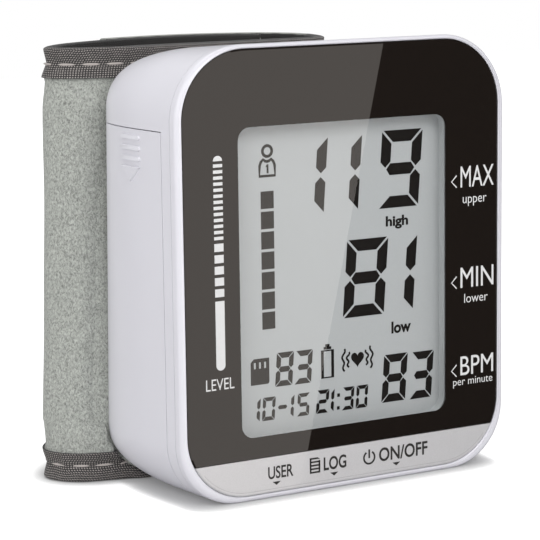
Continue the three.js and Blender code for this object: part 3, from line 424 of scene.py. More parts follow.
def woven(finish, shade, dot_shade, pitches, dots, face, highlight_band=None):
    """Woven cloth on the piece's own lengths: dark threads, and pale floats on its outer face.

    Pitches and face are in millimetres; the crest band (start, end, colour) over the fold is a
    painted highlight.
    """
    places = finish.places()
    run = finish.node("ShaderNodeSeparateXYZ", None, {"Vector": finish.places("UV")})
    rise = run.beside("Y")
    along, across = (math.pi / (pitch * MM) for pitch in pitches)
    weave = ((run + rise * 0.6) * along).wave().size() * (rise * across).wave().size()
    fuzz = finish.noise(places, 5200.0, 2.0, 0.7)
    worn = finish.noise(places, 500.0, 3.0, 0.6)
    bright = finish.node(
        "ShaderNodeValToRGB", {"stops": [(0.42, (0, 0, 0)), (0.85, (1, 1, 1))]},
        {"Fac": weave * (0.3 + fuzz * 1.4)},
    )
    outer = 1 - rise.above(face * MM)
    ground = finish.mix(fuzz, tinted(shade, 0.5), tinted(shade, 1.25))
    pale = finish.mix(worn, tinted(dot_shade, 0.55), tinted(dot_shade, 1.25))
    factor = finish.node("ShaderNodeRGBToBW", None, {"Color": bright}) * outer * dots
    base = finish.mix(factor, ground, pale)
    # Painted highlight: a lighter band over the crest of the fold.
    if highlight_band:
        start, end, highlight_shade = highlight_band
        edge = rise.above(start * MM) - rise.above(end * MM)
        painted_highlight = finish.mix(fuzz, tinted(highlight_shade, 0.7), tinted(highlight_shade, 1.2))
        base = finish.mix(edge, base, painted_highlight)
    height = weave * 0.7 + fuzz * 0.5
    return finish.surface(
        Base_Color=base, Roughness=0.85, Sheen_Weight=0.2, Sheen_Roughness=0.4,
        Normal=finish.bump(height, 0.00008),
    )


def sewing_thread(finish, colours):
    """Twisted thread: fine slanted plies."""
    plies = finish.noise(finish.places(), 6000.0, 2.0)
    return finish.surface(
        Base_Color=finish.mix(plies, tinted(colours.thread, 0.7), tinted(colours.thread, 1.15)),
        Roughness=0.7, Sheen_Weight=0.2, Normal=finish.bump(plies, 0.00005),
    )


def metal(finish, shade, roughness, stretch):
    """Drawn or plated metal: fine lines along one way."""
    turned = finish.node("ShaderNodeMapping", None, {"Vector": finish.places(), "Scale": stretch})
    lines = finish.noise(turned, 1800.0, 4.0, 0.7)
    return finish.surface(
        Base_Color=finish.mix(lines, tinted(shade, 0.86), tinted(shade, 1.08)), Metallic=1.0,
        Roughness=roughness + lines * 0.12, Normal=finish.bump(lines, 0.000004),
    )


def circuit_green(finish, colours):
    """Solder mask with the faint relief of tracks under it."""
    places = finish.places()
    cells = finish.node(
        "ShaderNodeTexVoronoi", {"feature": 'F1', "distance": 'CHEBYCHEV'},
        {"Vector": places, "Scale": 420.0}, "Distance",
    )
    tracks = cells.above(0.46)
    return finish.surface(
        Base_Color=finish.mix(tracks, colours.board, tinted(colours.board, 1.5)), Roughness=0.35,
        Normal=finish.bump(tracks, 0.00003),
    )


CELL_SHOULDER = 47
WIRE_PITCH = 0.22


def cell_sleeve(finish, colours):
    """Printed shrink sleeve of a battery cell, plain grey with a copper shoulder."""
    places = finish.places()
    height = finish.node("ShaderNodeSeparateXYZ", None, {"Vector": places}, "Z")
    rub = finish.noise(places, 600.0, 3.0)
    shoulder = height.above(CELL_SHOULDER * MM)
    base = finish.mix(shoulder, colours.cell, tinted(colours.copper, 0.9))
    return finish.surface(
        Base_Color=base, Metallic=0.35, Roughness=0.28 + rub * 0.12,
    )


def wound_wire(finish, colours):
    """Coil of lacquered copper wire: close turns round an upright core, darker in the grooves
    between them as painted shade.
    """
    height = finish.node("ShaderNodeSeparateXYZ", None, {"Vector": finish.places()}, "Z")
    turns = (height * (2 * math.pi / (WIRE_PITCH * MM))).wave()
    return finish.surface(
        # Painted shade: darker where the turns dip into grooves.
        Base_Color=finish.mix(turns * 0.5 + 0.5, tinted(colours.copper, 0.6), colours.copper),
        Metallic=0.9, Roughness=0.35, Normal=finish.bump(turns, 0.00006),
    )


def soft_rubber(finish, shade, roughness):
    """Moulded elastomer: matt, with a faint bloom."""
    bloom = finish.noise(finish.places(), 260.0, 4.0)
    return finish.surface(
        Base_Color=finish.mix(bloom, tinted(shade, 0.93), tinted(shade, 1.05)),
        Roughness=roughness + bloom * 0.15, Normal=finish.bump(bloom, 0.00003),
    )


def hook_tape(finish, colours):
    """Hook tape: rows of tiny hooks, with a painted highlight on their tops and painted shade
    between them.
    """
    dots = finish.node(
        "ShaderNodeTexVoronoi", {"feature": 'F1'}, {"Vector": finish.places(), "Scale": 1100.0},
        "Distance",
    )
    # Lighter at each hook's top, darker between: painted highlight and painted shade.
    return finish.surface(
        Base_Color=finish.mix(dots, tinted(colours.cloth, 1.3), tinted(colours.cloth, 0.5)),
        Roughness=0.7, Normal=finish.bump(1 - dots, 0.0003),
    )


TAPE_PITCHES = (0.44, 0.37)
TAPE_FACE = 5.4
MAKERS = {
    "shell_plastic": lambda finish, c: grained(
        finish, c.shell, 0.34, 5200.0, 0.000006, Coat_Weight=0.25, Coat_Roughness=0.18
    ),
    "dark_plastic": lambda finish, c: grained(finish, c.dark, 0.5, 3600.0, 0.00001),
    "clear_plastic": lambda finish, c: grained(
        finish, srgb(205, 214, 220), 0.3, 2600.0, 0.000005, Transmission_Weight=0.35
    ),
    "lens_mask": lens_mask,
    "strip_silver": strip_silver,
    "display_glass": display_glass,
    "window_pane": window_pane,
    "segment_ink": lambda finish, c: ink(finish, c.segment, 0.6, 0.1),
    # The gasket's colour is the display's made 10% lighter: painted light that offsets the shade on
    # its wall in the window's recess.
    "display_gasket": lambda finish, c: ink(finish, tinted(c.display, 1.1), 0.7, 0.2),
    "light_ink": lambda finish, c: ink(finish, c.light_print),
    "dark_ink": lambda finish, c: ink(finish, c.dark_print),
    "line_ink": lambda finish, c: ink(finish, tinted(c.strip, 0.72)),
    "brushed_fleece": brushed_fleece,
    "woven_tape": lambda finish, c: woven(
        finish, tinted(c.cloth, 0.75), c.thread, TAPE_PITCHES, 0.72, TAPE_FACE
    ),
    # The tail's tape has a painted highlight over the crest of its fold, in a lighter fleece tone.
    "tail_tape": lambda finish, c: woven(
        finish, tinted(c.cloth, 0.75), c.thread, TAPE_PITCHES, 0.72, TAPE_FACE,
        (5.0, 6.6, tinted(c.fleece, 0.85)),
    ),
    "knit_lining": lambda finish, c: woven(
        finish, tinted(c.cloth, 1.2), c.cloth, (0.7, 0.7), 0.2, 100.0
    ),
    "sewing_thread": sewing_thread,
    "plated_steel": lambda finish, c: metal(finish, srgb(190, 192, 196), 0.28, (1.0, 1.0, 0.1)),
    "motor_can": lambda finish, c: metal(finish, srgb(176, 178, 182), 0.3, (1.0, 1.0, 0.05)),
    "circuit_green": circuit_green,
    "cell_sleeve": cell_sleeve,
    "wound_wire": wound_wire,
    "soft_silicone": lambda finish, c: soft_rubber(finish, c.silicone, 0.5),
    "black_rubber": lambda finish, c: soft_rubber(finish, tinted(c.dark, 0.7), 0.6),
    "hook_tape": hook_tape,
}


def material(name):
    """A finish by name, made the first time that it is asked for."""
    if name not in bpy.data.materials:
        finish = Finish(name)
        finish.done(MAKERS[name](finish, bpy.context.scene.monitor_colours))
    return bpy.data.materials[name]


# Meshes

@contextmanager
def editing(mesh):
    """A mesh as Blender edits it, written back at the end."""
    edited = bmesh.new()
    edited.from_mesh(mesh)
    yield edited
    edited.to_mesh(mesh)
    edited.free()


def mesh_of(name, points, faces, edges=()):
    """A mesh from places in millimetres."""
    mesh = bpy.data.meshes.new(name)
    mesh.from_pydata([at(*point) for point in points], edges, faces)
    return mesh


def outward(mesh):
    """A closed mesh with its faces turned outwards."""
    with editing(mesh) as shape:
        bmesh.ops.recalc_face_normals(shape, faces=shape.faces)
    return mesh


def placed(name, data):
    """A new object in the scene."""
    made = bpy.data.objects.new(name, data)
    bpy.context.scene.collection.objects.link(made)
    return made


def smoothed(mesh, sharp):
    """Shades a mesh smooth but for edges sharper than an angle in degrees."""
    mesh.shade_smooth()
    mesh.set_sharp_from_angle(angle=math.radians(sharp))


def piece_of(name, mesh, finish, sharp=35):
    """A piece in the scene, smooth but for its edges."""
    piece = placed(name, mesh)
    mesh.materials.clear()
    mesh.materials.append(material(finish))
    smoothed(mesh, sharp)
    return piece


def solid(name, shape, finish):
    """A piece from the points and faces of a closed shape."""
    return piece_of(name, outward(mesh_of(name, *shape)), finish)


def tube_faces(size, rows):
    """Faces of a closed tube through rows of points: its sides, row by row, and its two ends."""
    corners = [(i, (i + 1) % size) for i in range(size)]
    sides = [
        (low + i, low + after, low + size + after, low + size + i)
        for low in range(0, (rows - 1) * size, size) for i, after in corners
    ]
    last = (rows - 1) * size
    return [*sides, tuple(range(size)), tuple(range(last, last + size))]


def loft(rings):
    """Closed skin through rings of equal length that stand square to Y."""
    points = [(x, depth, z) for depth, ring in rings for x, z in ring]
    return points, tube_faces(len(rings[0][1]), len(rings))


def prism(ring, front, back):
    """Closed shape with the same outline at two values of Y."""
    return loft([(front, ring), (back, ring)])


def rectangle(x0, x1, z0, z1):
    """Outline of a rectangle."""
    return [(x0, z0), (x1, z0), (x1, z1), (x0, z1)]


def block(x, y, z):
    """Block between two values of X, of Y and of Z."""
    return prism(rectangle(*x, *z), *y)


def rod(radius, x, z, y0, y1, sides=40):
    """Rod along Y."""
    return prism(arc(x, z, radius, 0, 360, sides)[:-1], y0, y1)


def upright_stadium(width, depth, x, y, z0, z1, sides=16):
    """Upright pill shape round (x, y)."""
    radius, half = depth / 2, (width - depth) / 2
    turns = span(0, math.pi, sides)
    right = [(half + radius * math.sin(turn), -radius * math.cos(turn)) for turn in turns]
    ring = right + [(-px, -py) for px, py in right]
    points = [(x + px, y + py, z) for z in (z0, z1) for px, py in ring]
    return points, tube_faces(len(ring), 2)


def rounded(x, z, radii, steps):
    """Outline between two values of X and of Z, with radii of the upper and the lower corners."""
    upper, lower = radii
    corners = [
        (x[1] - upper, z[1] - upper, upper), (x[0] + upper, z[1] - upper, upper),
        (x[0] + lower, z[0] + lower, lower), (x[1] - lower, z[0] + lower, lower),
    ]
    return [
        (cx + radius * math.cos(angle), cz + radius * math.sin(angle))
        for quarter, (cx, cz, radius) in enumerate(corners)
        for angle in ((quarter + step / steps) * math.pi / 2 for step in range(steps + 1))
    ]


def frozen(piece):
    """Applies a piece's modifiers."""
    graph = bpy.context.evaluated_depsgraph_get()
    mesh = bpy.data.meshes.new_from_object(piece.evaluated_get(graph))
    piece.modifiers.clear()
    name, old = piece.data.name, piece.data
    piece.data = mesh
    bpy.data.meshes.remove(old)
    mesh.name = name
    return piece


def carved(piece, shapes, operation='DIFFERENCE'):
    """A piece with closed shapes cut out, added or kept in common, one after the other."""
    tools = []
    for number, shape in enumerate(shapes):
        tool = placed(f"tool_{number}", outward(mesh_of("tool", *shape)))
        change = piece.modifiers.new("carve", 'BOOLEAN')
        change.operation = operation
        change.solver = 'MANIFOLD'
        change.object = tool
        tools.append(tool)
    bpy.context.view_layer.update()
    frozen(piece)
    for tool in tools:
        bpy.data.meshes.remove(tool.data)
    if len(piece.data.polygons) < 4:
        raise RuntimeError(piece.name + " is empty after it was cut")


def reshaded(piece, finish, sharp):
    """Gives a piece one finish and its sharp edges again, after it was cut."""
    piece.data.materials.clear()
    piece.data.materials.append(material(finish))
    for polygon in piece.data.polygons:
        polygon.material_index = 0
    smoothed(piece.data, sharp)


def softened(piece, width):
    """Rounds a piece's edges."""
    bevel = piece.modifiers.new("soften", 'BEVEL')
    bevel.width = width * MM
    bevel.segments = 2
    bevel.limit_method = 'ANGLE'
    bevel.angle_limit = math.radians(40)
    bevel.harden_normals = True


MERGE_DISTANCE = 0.002 * MM


def smooth_copy(name, node, finish, sharp):
    """A piece with the merged and smooth mesh of a CAD node."""
    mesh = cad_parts[node].data.copy()
    mesh.name = name
    flat = math.radians(1)
    with editing(mesh) as shape:
        bmesh.ops.remove_doubles(shape, verts=shape.verts, dist=MERGE_DISTANCE)
        bmesh.ops.dissolve_limit(shape, angle_limit=flat, verts=shape.verts, edges=shape.edges)
    return piece_of(name, mesh, finish, sharp)


def finished(piece, body, slot, *nodes):
    """Sets a piece on its body, and hides the CAD nodes that it stands for; the slot is not used.
    """
    if nodes:
        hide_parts(*nodes)
    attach(piece, body)


def marks(name, polygons, depth, thickness, finish):
    """Flat marks that stand out from a face: polygons of (x, z), all in one piece."""
    points, faces = [], []
    for polygon in polygons:
        faces.append(tuple(range(len(points), len(points) + len(polygon))))
        points += [(x, depth, z) for x, z in polygon]
    mesh = mesh_of(name, points, faces)
    with editing(mesh) as shape:
        bmesh.ops.remove_doubles(shape, verts=shape.verts, dist=MERGE_DISTANCE / 4)
        made = bmesh.ops.extrude_face_region(shape, geom=shape.faces[:])
        tops = [part for part in made["geom"] if isinstance(part, bmesh.types.BMVert)]
        bmesh.ops.translate(shape, vec=Vector((0, -thickness * MM, 0)), verts=tops)
    return piece_of(name, outward(mesh), finish, 30)


def ribbon(points, width, closed=False):
    """Quads along a line of points, as wide as a pen."""
    count = len(points)
    left, right = [], []
    for index, (x, z) in enumerate(points):
        before = points[index - 1] if index or closed else points[index]
        after = points[(index + 1) % count] if index + 1 < count or closed else points[index]
        run = Vector((after[0] - before[0], after[1] - before[1])).normalized() * width / 2
        left.append((x - run.y, z + run.x))
        right.append((x + run.y, z - run.x))
    pairs = [(i, (i + 1) % count) for i in range(count if closed else count - 1)]
    return [[left[i], left[after], right[after], right[i]] for i, after in pairs]


def arc(x, z, radius, start, end, steps):
    """Points round an arc, between two angles in degrees."""
    turns = [math.radians(angle) for angle in span(start, end, steps)]
    return [(x + radius * math.cos(turn), z + radius * math.sin(turn)) for turn in turns]


def lettering(body, x, z, weight=0.0):
    """Polygons of a line of text, fitted between two values of X and of Z."""
    curve = bpy.data.curves.new("lettering", 'FONT')
    curve.body = body
    curve.offset = weight
    curve.resolution_u = 5
    writing = placed("lettering", curve)
    bpy.context.view_layer.update()
    graph = bpy.context.evaluated_depsgraph_get()
    mesh = bpy.data.meshes.new_from_object(writing.evaluated_get(graph))
    spots = np.array([vertex.co[:2] for vertex in mesh.vertices])
    low, high = spots.min(axis=0), spots.max(axis=0)
    start, end = np.array([x[0], z[0]]), np.array([x[1], z[1]])
    fitted = start + (spots - low) * (end - start) / (high - low)
    polygons = [[tuple(fitted[i]) for i in polygon.vertices] for polygon in mesh.polygons]
    bpy.data.objects.remove(writing)
    bpy.data.curves.remove(curve)
    bpy.data.meshes.remove(mesh)
    return polygons


# Casing

CORNER_STEPS = 28
RIM_STEPS = 10
FLANK_STEPS = 6
REAR_STEPS = 18
# X, Z and the radius of the post round each screw
SCREW_PLACES = [(-24, 61.5, 2.1), (24, 61.5, 2.1), (24, 9.6, 2.1), (-18.9, 6.4, 1.65)]
SCREW = SimpleNamespace(
    post_end=23.7, pilot=0.85, pilot_start=16.7, pilot_end=24.7, wall=23, head=2.1, seat=24.6,
)
KEY_PLACES = [-13.5, -3, 9]
KEY_DEPTH = 6.3
KEY_HOLE = SimpleNamespace(width=6.8, depth=4.6, top=2.6)
FRAME = SimpleNamespace(
    pocket=0.6, lip=0.8, lip_inset=0.3, seat=0.24, step=0.12, bed=0.26, bed_gap=0.07,
)
GASKET = SimpleNamespace(inner=0.5, outer=1.1, gap=0.03, rise=0.01, reach=0.28)
# Beds of the cuff's plate and of the door's clips in the back, and the hole for its nipple
REAR_POCKET = ((-17.15, 11.15), (24.85, 27), (12.85, 57.15))
CLIP_SLOTS = [((-4.4, -0.2), (23, 26), (15.3, 16.7)), ((-4.4, -0.2), (23, 26), (53.3, 54.7))]
AIR_HOLE = (2.2, 3.2, 61.6)


def draw_in(case, depth):
    """How far the casing's skin draws in at a depth."""
    if depth < case.rim_round:
        return case.rim_round - math.sqrt(case.rim_round ** 2 - (case.rim_round - depth) ** 2)
    run = min(1, max(0, (depth - case.depth + case.rear_run) / case.rear_run))
    return case.rear_round * (1 - math.sqrt(1 - run ** 2))


def case_ring(case, depth, inset):
    """Outline of the casing at a depth, moved in from its skin."""
    share = depth / case.depth
    inward = draw_in(case, depth) + inset
    half = case.width / 2 + case.side_swell * share - inward
    top = case.height - case.top_fall * share - inward
    radii = (
        case.top_radius + (case.rear_top_radius - case.top_radius) * share - inward,
        case.bottom_radius + (case.rear_bottom_radius - case.bottom_radius) * share - inward,
    )
    ring = rounded((-half, half), (inward, top), radii, CORNER_STEPS)
    rounded_off = draw_in(case, depth) / case.rear_round if depth > case.rim_round else 0.0
    lean = case.rear_lean * rounded_off
    return [(x + lean * (1 - 2 * z / case.height) * x / half, z) for x, z in ring]


def pillow(case, start, end, inset=0.0):
    """Stretch of the casing's pillow between two depths, moved in from its skin."""
    quarter = math.pi / 2
    rear = case.depth - case.rear_run
    depths = [case.rim_round * (1 - math.cos(turn)) for turn in span(0, quarter, RIM_STEPS)]
    depths += span(case.rim_round, rear, FLANK_STEPS)[1:-1]
    depths += [rear + case.rear_run * math.sin(turn) for turn in span(0, quarter, REAR_STEPS)]
    between = [depth for depth in depths if start < depth < end]
    return loft([(depth, case_ring(case, depth, inset)) for depth in (start, *between, end)])


DOOR_GAP = 0.15


def door_space(case, gap):
    """Space that the battery door takes out of the casing's skin."""
    outside = -case.width
    ring = [
        (outside, -OVERRUN), (-case.door_foot + gap, -OVERRUN),
        (-case.door_foot + gap, case.door_foot_height + gap),
        (-case.door_return + gap, case.door_foot_height + gap),
        (-case.door_return + gap, case.door_top + gap), (outside, case.door_top + gap),
    ]
    return prism(ring, case.door_front - gap, case.depth + OVERRUN)


def panel_ring(case, face, grow):
    """Outline of the panel, which is lens and key strip together."""
    half = case.width / 2 - face.side_margin + grow
    return rounded(
        (-half, half), (face.bottom_margin - grow, case.height - face.top_margin + grow),
        (face.top_radius + grow, face.bottom_radius + grow), CORNER_STEPS,
    )


def window_ring(face, grow):
    """Outline of the lens's window."""
    radius = face.window_radius + grow
    return rounded(
        (face.window_left - grow, face.window_right + grow),
        (face.window_bottom - grow, face.window_top + grow), (radius, radius), 12,
    )


class MONITOR_OT_casing(bpy.types.Operator):
    """Builds the front frame and the rear shell."""

    bl_idname = "monitor.casing"
    bl_label = "Casing"

    def execute(self, context):
        case, face = in_mm(context.scene.monitor_casing), in_mm(context.scene.monitor_face)
        self.front(case, face)
        self.rear(case)
        return {'FINISHED'}

    def front(self, case, face):
        """Front frame with its screw posts, and the gasket round the display."""
        pocket, lip = case.parting - FRAME.pocket, case.parting + FRAME.lip
        front = solid("front_frame", pillow(case, 0, case.parting), "shell_plastic")
        seat = [
            (-OVERRUN, FRAME.seat), (FRAME.step, FRAME.seat), (FRAME.bed, FRAME.bed_gap),
            (pocket, FRAME.bed_gap),
        ]
        carved(front, [loft([(depth, panel_ring(case, face, grow)) for depth, grow in seat])])
        posts = [rod(radius, x, z, pocket, SCREW.post_end) for x, z, radius in SCREW_PLACES]
        carved(front, [pillow(case, pocket, lip, case.wall + FRAME.lip_inset), *posts], 'UNION')
        pilots = [
            rod(SCREW.pilot, x, z, SCREW.pilot_start, SCREW.pilot_end, 20)
            for x, z, _ in SCREW_PLACES
        ]
        carved(front, [prism(window_ring(face, GASKET.outer), -OVERRUN, lip + OVERRUN), *pilots])
        reshaded(front, "shell_plastic", 32)
        finished(front, "monitor", "white_plastic", "front_case")
        rim = window_ring(face, GASKET.outer - GASKET.gap)
        gasket = solid(
            "display_gasket", prism(rim, pocket + GASKET.rise, lip + GASKET.reach), "display_gasket"
        )
        carved(gasket, [prism(window_ring(face, GASKET.inner), -OVERRUN, lip + OVERRUN)])
        reshaded(gasket, "display_gasket", 35)
        finished(gasket, "monitor", "display")

    def rear(self, case):
        """Rear shell, open for the keys, the screws, the door and the cuff."""
        start, outside = case.parting + case.parting_gap, case.depth + OVERRUN
        rear = solid("rear_shell", pillow(case, start, case.depth), "shell_plastic")
        keys = [
            upright_stadium(KEY_HOLE.width, KEY_HOLE.depth, x, KEY_DEPTH, -OVERRUN, KEY_HOLE.top)
            for x in KEY_PLACES
        ]
        shanks = [rod(SCREW.pilot, x, z, SCREW.wall, outside) for x, z, _ in SCREW_PLACES]
        heads = [rod(SCREW.head, x, z, SCREW.seat, outside) for x, z, _ in SCREW_PLACES]
        hollow = pillow(case, start - OVERRUN, case.depth - case.back_wall, case.wall)
        carved(rear, [
            hollow, door_space(case, DOOR_GAP), *keys, *shanks, *heads, block(*REAR_POCKET),
            *(block(*slot) for slot in CLIP_SLOTS), rod(*AIR_HOLE, SCREW.wall, outside),
        ])
        reshaded(rear, "shell_plastic", 32)
        finished(rear, "monitor", "white_plastic", "main_case")


# Battery door

GRIP = SimpleNamespace(
    count=3, front=10.3, width=5.95, height=0.75, pitch=1.65, top=57.75, proud=0.27, chamfer=0.14,
)
TRIANGLE = SimpleNamespace(top=52.83, height=2.38, proud=0.3, chamfer=0.25, centre=0.6)
GRIP_BACK = GRIP.front + GRIP.width
GRIP_MIDDLE = (GRIP.front + GRIP_BACK) / 2
# X, Y and Z of the tongue and the lip behind the door's rear edge
TONGUE = ((-29.1, -27.9), (22.7, 25), (14, 55))
LIP = ((-28.1, -26.9), (22.7, 23.7), (14, 55))
TAB = SimpleNamespace(
    inner=-27.77, thickness=1, y=(9, 17), low=54.65, high=60.25, web_high=58.35, sink=0.8,
)


def side_skin(case, depth, proud):
    """X a distance outside the casing's left side at a depth."""
    return -(case.width / 2 + case.side_swell * depth / case.depth - draw_in(case, depth)) - proud


class MONITOR_OT_door(bpy.types.Operator):
    """Builds the battery door with its grip bars and triangle."""

    bl_idname = "monitor.door"
    bl_label = "Battery door"

    def execute(self, context):
        case = in_mm(context.scene.monitor_casing)
        start = case.parting + case.parting_gap
        door = solid("door_cover", pillow(case, start, case.depth), "shell_plastic")
        carved(door, [pillow(case, start - OVERRUN, case.depth - case.back_wall, case.wall)])
        carved(door, [door_space(case, 0)], 'INTERSECT')
        inner = -case.width / 2 + case.wall
        bars = [self.bar(case, inner, GRIP.top - i * GRIP.pitch) for i in range(GRIP.count)]
        root = side_skin(case, TAB.y[0], -TAB.sink)
        carved(door, [
            *bars, self.triangle(case, inner), block(*TONGUE), block(*LIP),
            block((TAB.inner - TAB.thickness, TAB.inner), TAB.y, (TAB.low, TAB.high)),
            block((root, TAB.inner), TAB.y, (TAB.low, TAB.web_high)),
        ], 'UNION')
        reshaded(door, "shell_plastic", 40)
        finished(door, "door", "white_plastic", "battery_door")
        return {'FINISHED'}

    def bar(self, case, inner, top):
        """Grip bar with rounded ends and edges."""
        radius = GRIP.height / 2
        middle = top - radius
        ring = arc(GRIP_BACK - radius, middle, radius, -90, 90, 10)
        ring += arc(GRIP.front + radius, middle, radius, 90, 270, 10)
        return relief(case, ring, middle, GRIP, inner)

    def triangle(self, case, inner):
        """Flat triangle that points down, the way the door slides."""
        low = TRIANGLE.top - TRIANGLE.height
        corners = [(GRIP.front, TRIANGLE.top), (GRIP_MIDDLE, low), (GRIP_BACK, TRIANGLE.top)]
        ring = [
            (y + (next_y - y) * share / 4, z + (next_z - z) * share / 4)
            for (y, z), (next_y, next_z) in zip(corners, corners[1:] + corners[:1])
            for share in range(4)
        ]
        return relief(case, ring, low + TRIANGLE.height * TRIANGLE.centre, TRIANGLE, inner)


def relief(case, ring, centre, sizes, inner):
    """Shape that stands out of the door: an outline in Y and Z, with a softened edge."""
    widest = max(math.hypot(y - GRIP_MIDDLE, z - centre) for y, z in ring)
    points = []
    for sink, inset in ((0, 1), (0.4, 1 / 3), (1, 0)):
        scale = 1 - inset * sizes.chamfer / widest
        points += [
            (side_skin(case, y, sizes.proud) + sink * sizes.chamfer,
             GRIP_MIDDLE + (y - GRIP_MIDDLE) * scale, centre + (z - centre) * scale)
            for y, z in ring
        ]
    points += [(inner, y, z) for y, z in ring]
    return points, tube_faces(len(ring), 4)


# Face

LENS_EDGE = [(0.0, -0.26), (0.06, -0.06), (0.14, 0.0)]
PANE, PANE_GAP = 0.05, 0.005
WINDOW_FLARE = 0.58


class MONITOR_OT_face(bpy.types.Operator):
    """Builds the lens, its clear window and the key strip."""

    bl_idname = "monitor.face"
    bl_label = "Lens and key strip"

    def execute(self, context):
        case, face = in_mm(context.scene.monitor_casing), in_mm(context.scene.monitor_face)
        front, back = face.setback, face.setback + face.thickness
        edge = [*((front + drop, grow) for drop, grow in LENS_EDGE), (back, 0.0)]
        plate = loft([(depth, panel_ring(case, face, grow)) for depth, grow in edge])
        wide, deep = (-case.width, case.width), (-OVERRUN, back + OVERRUN)
        low, high = face.strip_top - face.split_gap / 2, face.strip_top + face.split_gap / 2
        window = loft([
            (front - OVERRUN, window_ring(face, 0.0)), (front + PANE, window_ring(face, 0.0)),
            (back + PANE, window_ring(face, WINDOW_FLARE)),
        ])
        lens = solid("lens_cover", plate, "lens_mask")
        carved(lens, [block(wide, deep, (-OVERRUN, high)), window])
        reshaded(lens, "lens_mask", 15)
        finished(lens, "monitor", "lens", "display_lens")
        strip = solid("key_label_strip", plate, "strip_silver")
        carved(strip, [block(wide, deep, (low, case.height + OVERRUN))])
        reshaded(strip, "strip_silver", 15)
        finished(strip, "monitor", "silver_strip", "key_strip")
        rim = window_ring(face, -PANE_GAP)
        pane = solid("lens_window", prism(rim, front, front + PANE), "window_pane")
        finished(pane, "monitor", "clear_plastic")
        return {'FINISHED'}


SCALE_LEFT, SCALE_RIGHT = -23.93, -22.33
SCALE_CAP = 54.22
# Count, top, pitch and height of each row of bars
SCALE_ROWS = [(13, 53.75, 0.931, 0.5), (5, 41.5, 1.765, 1.25)]
SCALE_FOOT = (21.66, 32.55)
WORD_ACROSS = (21.75, 28.35)
ARROW = SimpleNamespace(tip=19.98, base=20.98, half=0.98, drop=0.7, pen=0.2)
# Each word and its heights, and the note beneath with its place
FACE_WORDS = [
    ("MAX", (46.8, 50.25), "upper", (22.2, 26.9), (43.65, 45.2)),
    ("MIN", (30.2, 33.55), "lower", (22.5, 27.2), (27.65, 29.15)),
    ("BPM", (15.55, 18.7), "per minute", (20.3, 28.2), (13.5, 15.1)),
]
# Each key's word with its place and weight, and X of the triangle under it
KEY_WORDS = [
    ("USER", (-15.0, -10.4), (3.1, 5.15), 0.016), ("LOG", (-4.75, -0.5), (3.1, 5.3), 0.022),
    ("ON/OFF", (5.75, 15.2), (3.1, 5.4), 0.02),
]
KEY_TRIANGLES = (-13.47, -2.8, 9.08)


class MONITOR_OT_face_print(bpy.types.Operator):
    """Prints the scale, the words and the key marks on the face."""

    bl_idname = "monitor.face_print"
    bl_label = "Face print"

    def execute(self, context):
        case, face = in_mm(context.scene.monitor_casing), in_mm(context.scene.monitor_face)
        pieces = {
            "scale_print": (self.scale(), "light_ink"),
            "word_print": (self.words(), "light_ink"),
            "key_print": (self.keys(), "dark_ink"),
            "strip_line": (self.line(case, face), "line_ink"),
        }
        for name, (polygons, finish) in pieces.items():
            piece = marks(name, polygons, face.setback, face.ink, finish)
            finished(piece, "monitor", "lens" if finish == "light_ink" else "silver_strip")
        return {'FINISHED'}

    def scale(self):
        """Level scale at the left: cap, short bars, squares and a long bar."""
        middle, half = (SCALE_LEFT + SCALE_RIGHT) / 2, (SCALE_RIGHT - SCALE_LEFT) / 2
        low, high = SCALE_FOOT
        polygons = [arc(middle, SCALE_CAP, half, 0, 180, 16)]
        for count, top, pitch, tall in SCALE_ROWS:
            tops = [top - index * pitch for index in range(count)]
            polygons += [rectangle(SCALE_LEFT, SCALE_RIGHT, edge - tall, edge) for edge in tops]
        foot = arc(middle, low + half, half, 180, 360, 16)
        return [*polygons, [(SCALE_RIGHT, high), (SCALE_LEFT, high), *foot]]

    def words(self):
        """Words on the lens, with an arrow head beside each that has a note."""
        polygons = lettering("LEVEL", (-25.8, -20.8), (18.6, 20.4))
        for word, high, note, across, low in FACE_WORDS:
            polygons += lettering(word, WORD_ACROSS, high)
            polygons += lettering(note, across, low, -0.004)
            middle = sum(high) / 2 - ARROW.drop
            polygons += ribbon([
                (ARROW.base, middle + ARROW.half), (ARROW.tip, middle),
                (ARROW.base, middle - ARROW.half),
            ], ARROW.pen)
        return polygons

    def keys(self):
        """Words and triangles over the three keys, list sign and power sign."""
        polygons = [shape for word in KEY_WORDS for shape in lettering(*word)]
        polygons += [[(x - 0.75, 2.62), (x, 2.05), (x + 0.75, 2.62)] for x in KEY_TRIANGLES]
        polygons += self.list_sign(-7.35, 2.95)
        polygons += ribbon(arc(3.87, 4.1, 1.02, 122, 418, 30), 0.32)
        polygons.append(rectangle(3.71, 4.03, 4.0, 5.45))
        return polygons

    def list_sign(self, left, bottom):
        """Sheet with a folded corner and four lines left bare."""
        right, top = left + 1.95, bottom + 2.55
        edge, corner, rows = 0.3, 0.5, 4
        pitch = (top - bottom) / (rows + 0.5)
        polygons = [
            rectangle(left, left + edge, bottom, top),
            rectangle(right - edge, right, bottom, top - corner),
        ]
        for row in range(rows + 1):
            low = bottom + row * pitch
            high = min(top, low + pitch * 0.5)
            cut = corner if row == rows else 0.0
            polygons.append([(left, low), (right, low), (right - cut, high), (left, high)])
        return polygons

    def line(self, case, face):
        """Fine line round the foot of the key strip."""
        inset, top = 0.62, 5.6
        ring = [point for point in panel_ring(case, face, -inset) if point[1] < top]
        ring.sort(key=lambda point: (point[0], -point[1] if point[0] < 0 else point[1]))
        return ribbon(ring, 0.07)


# Display

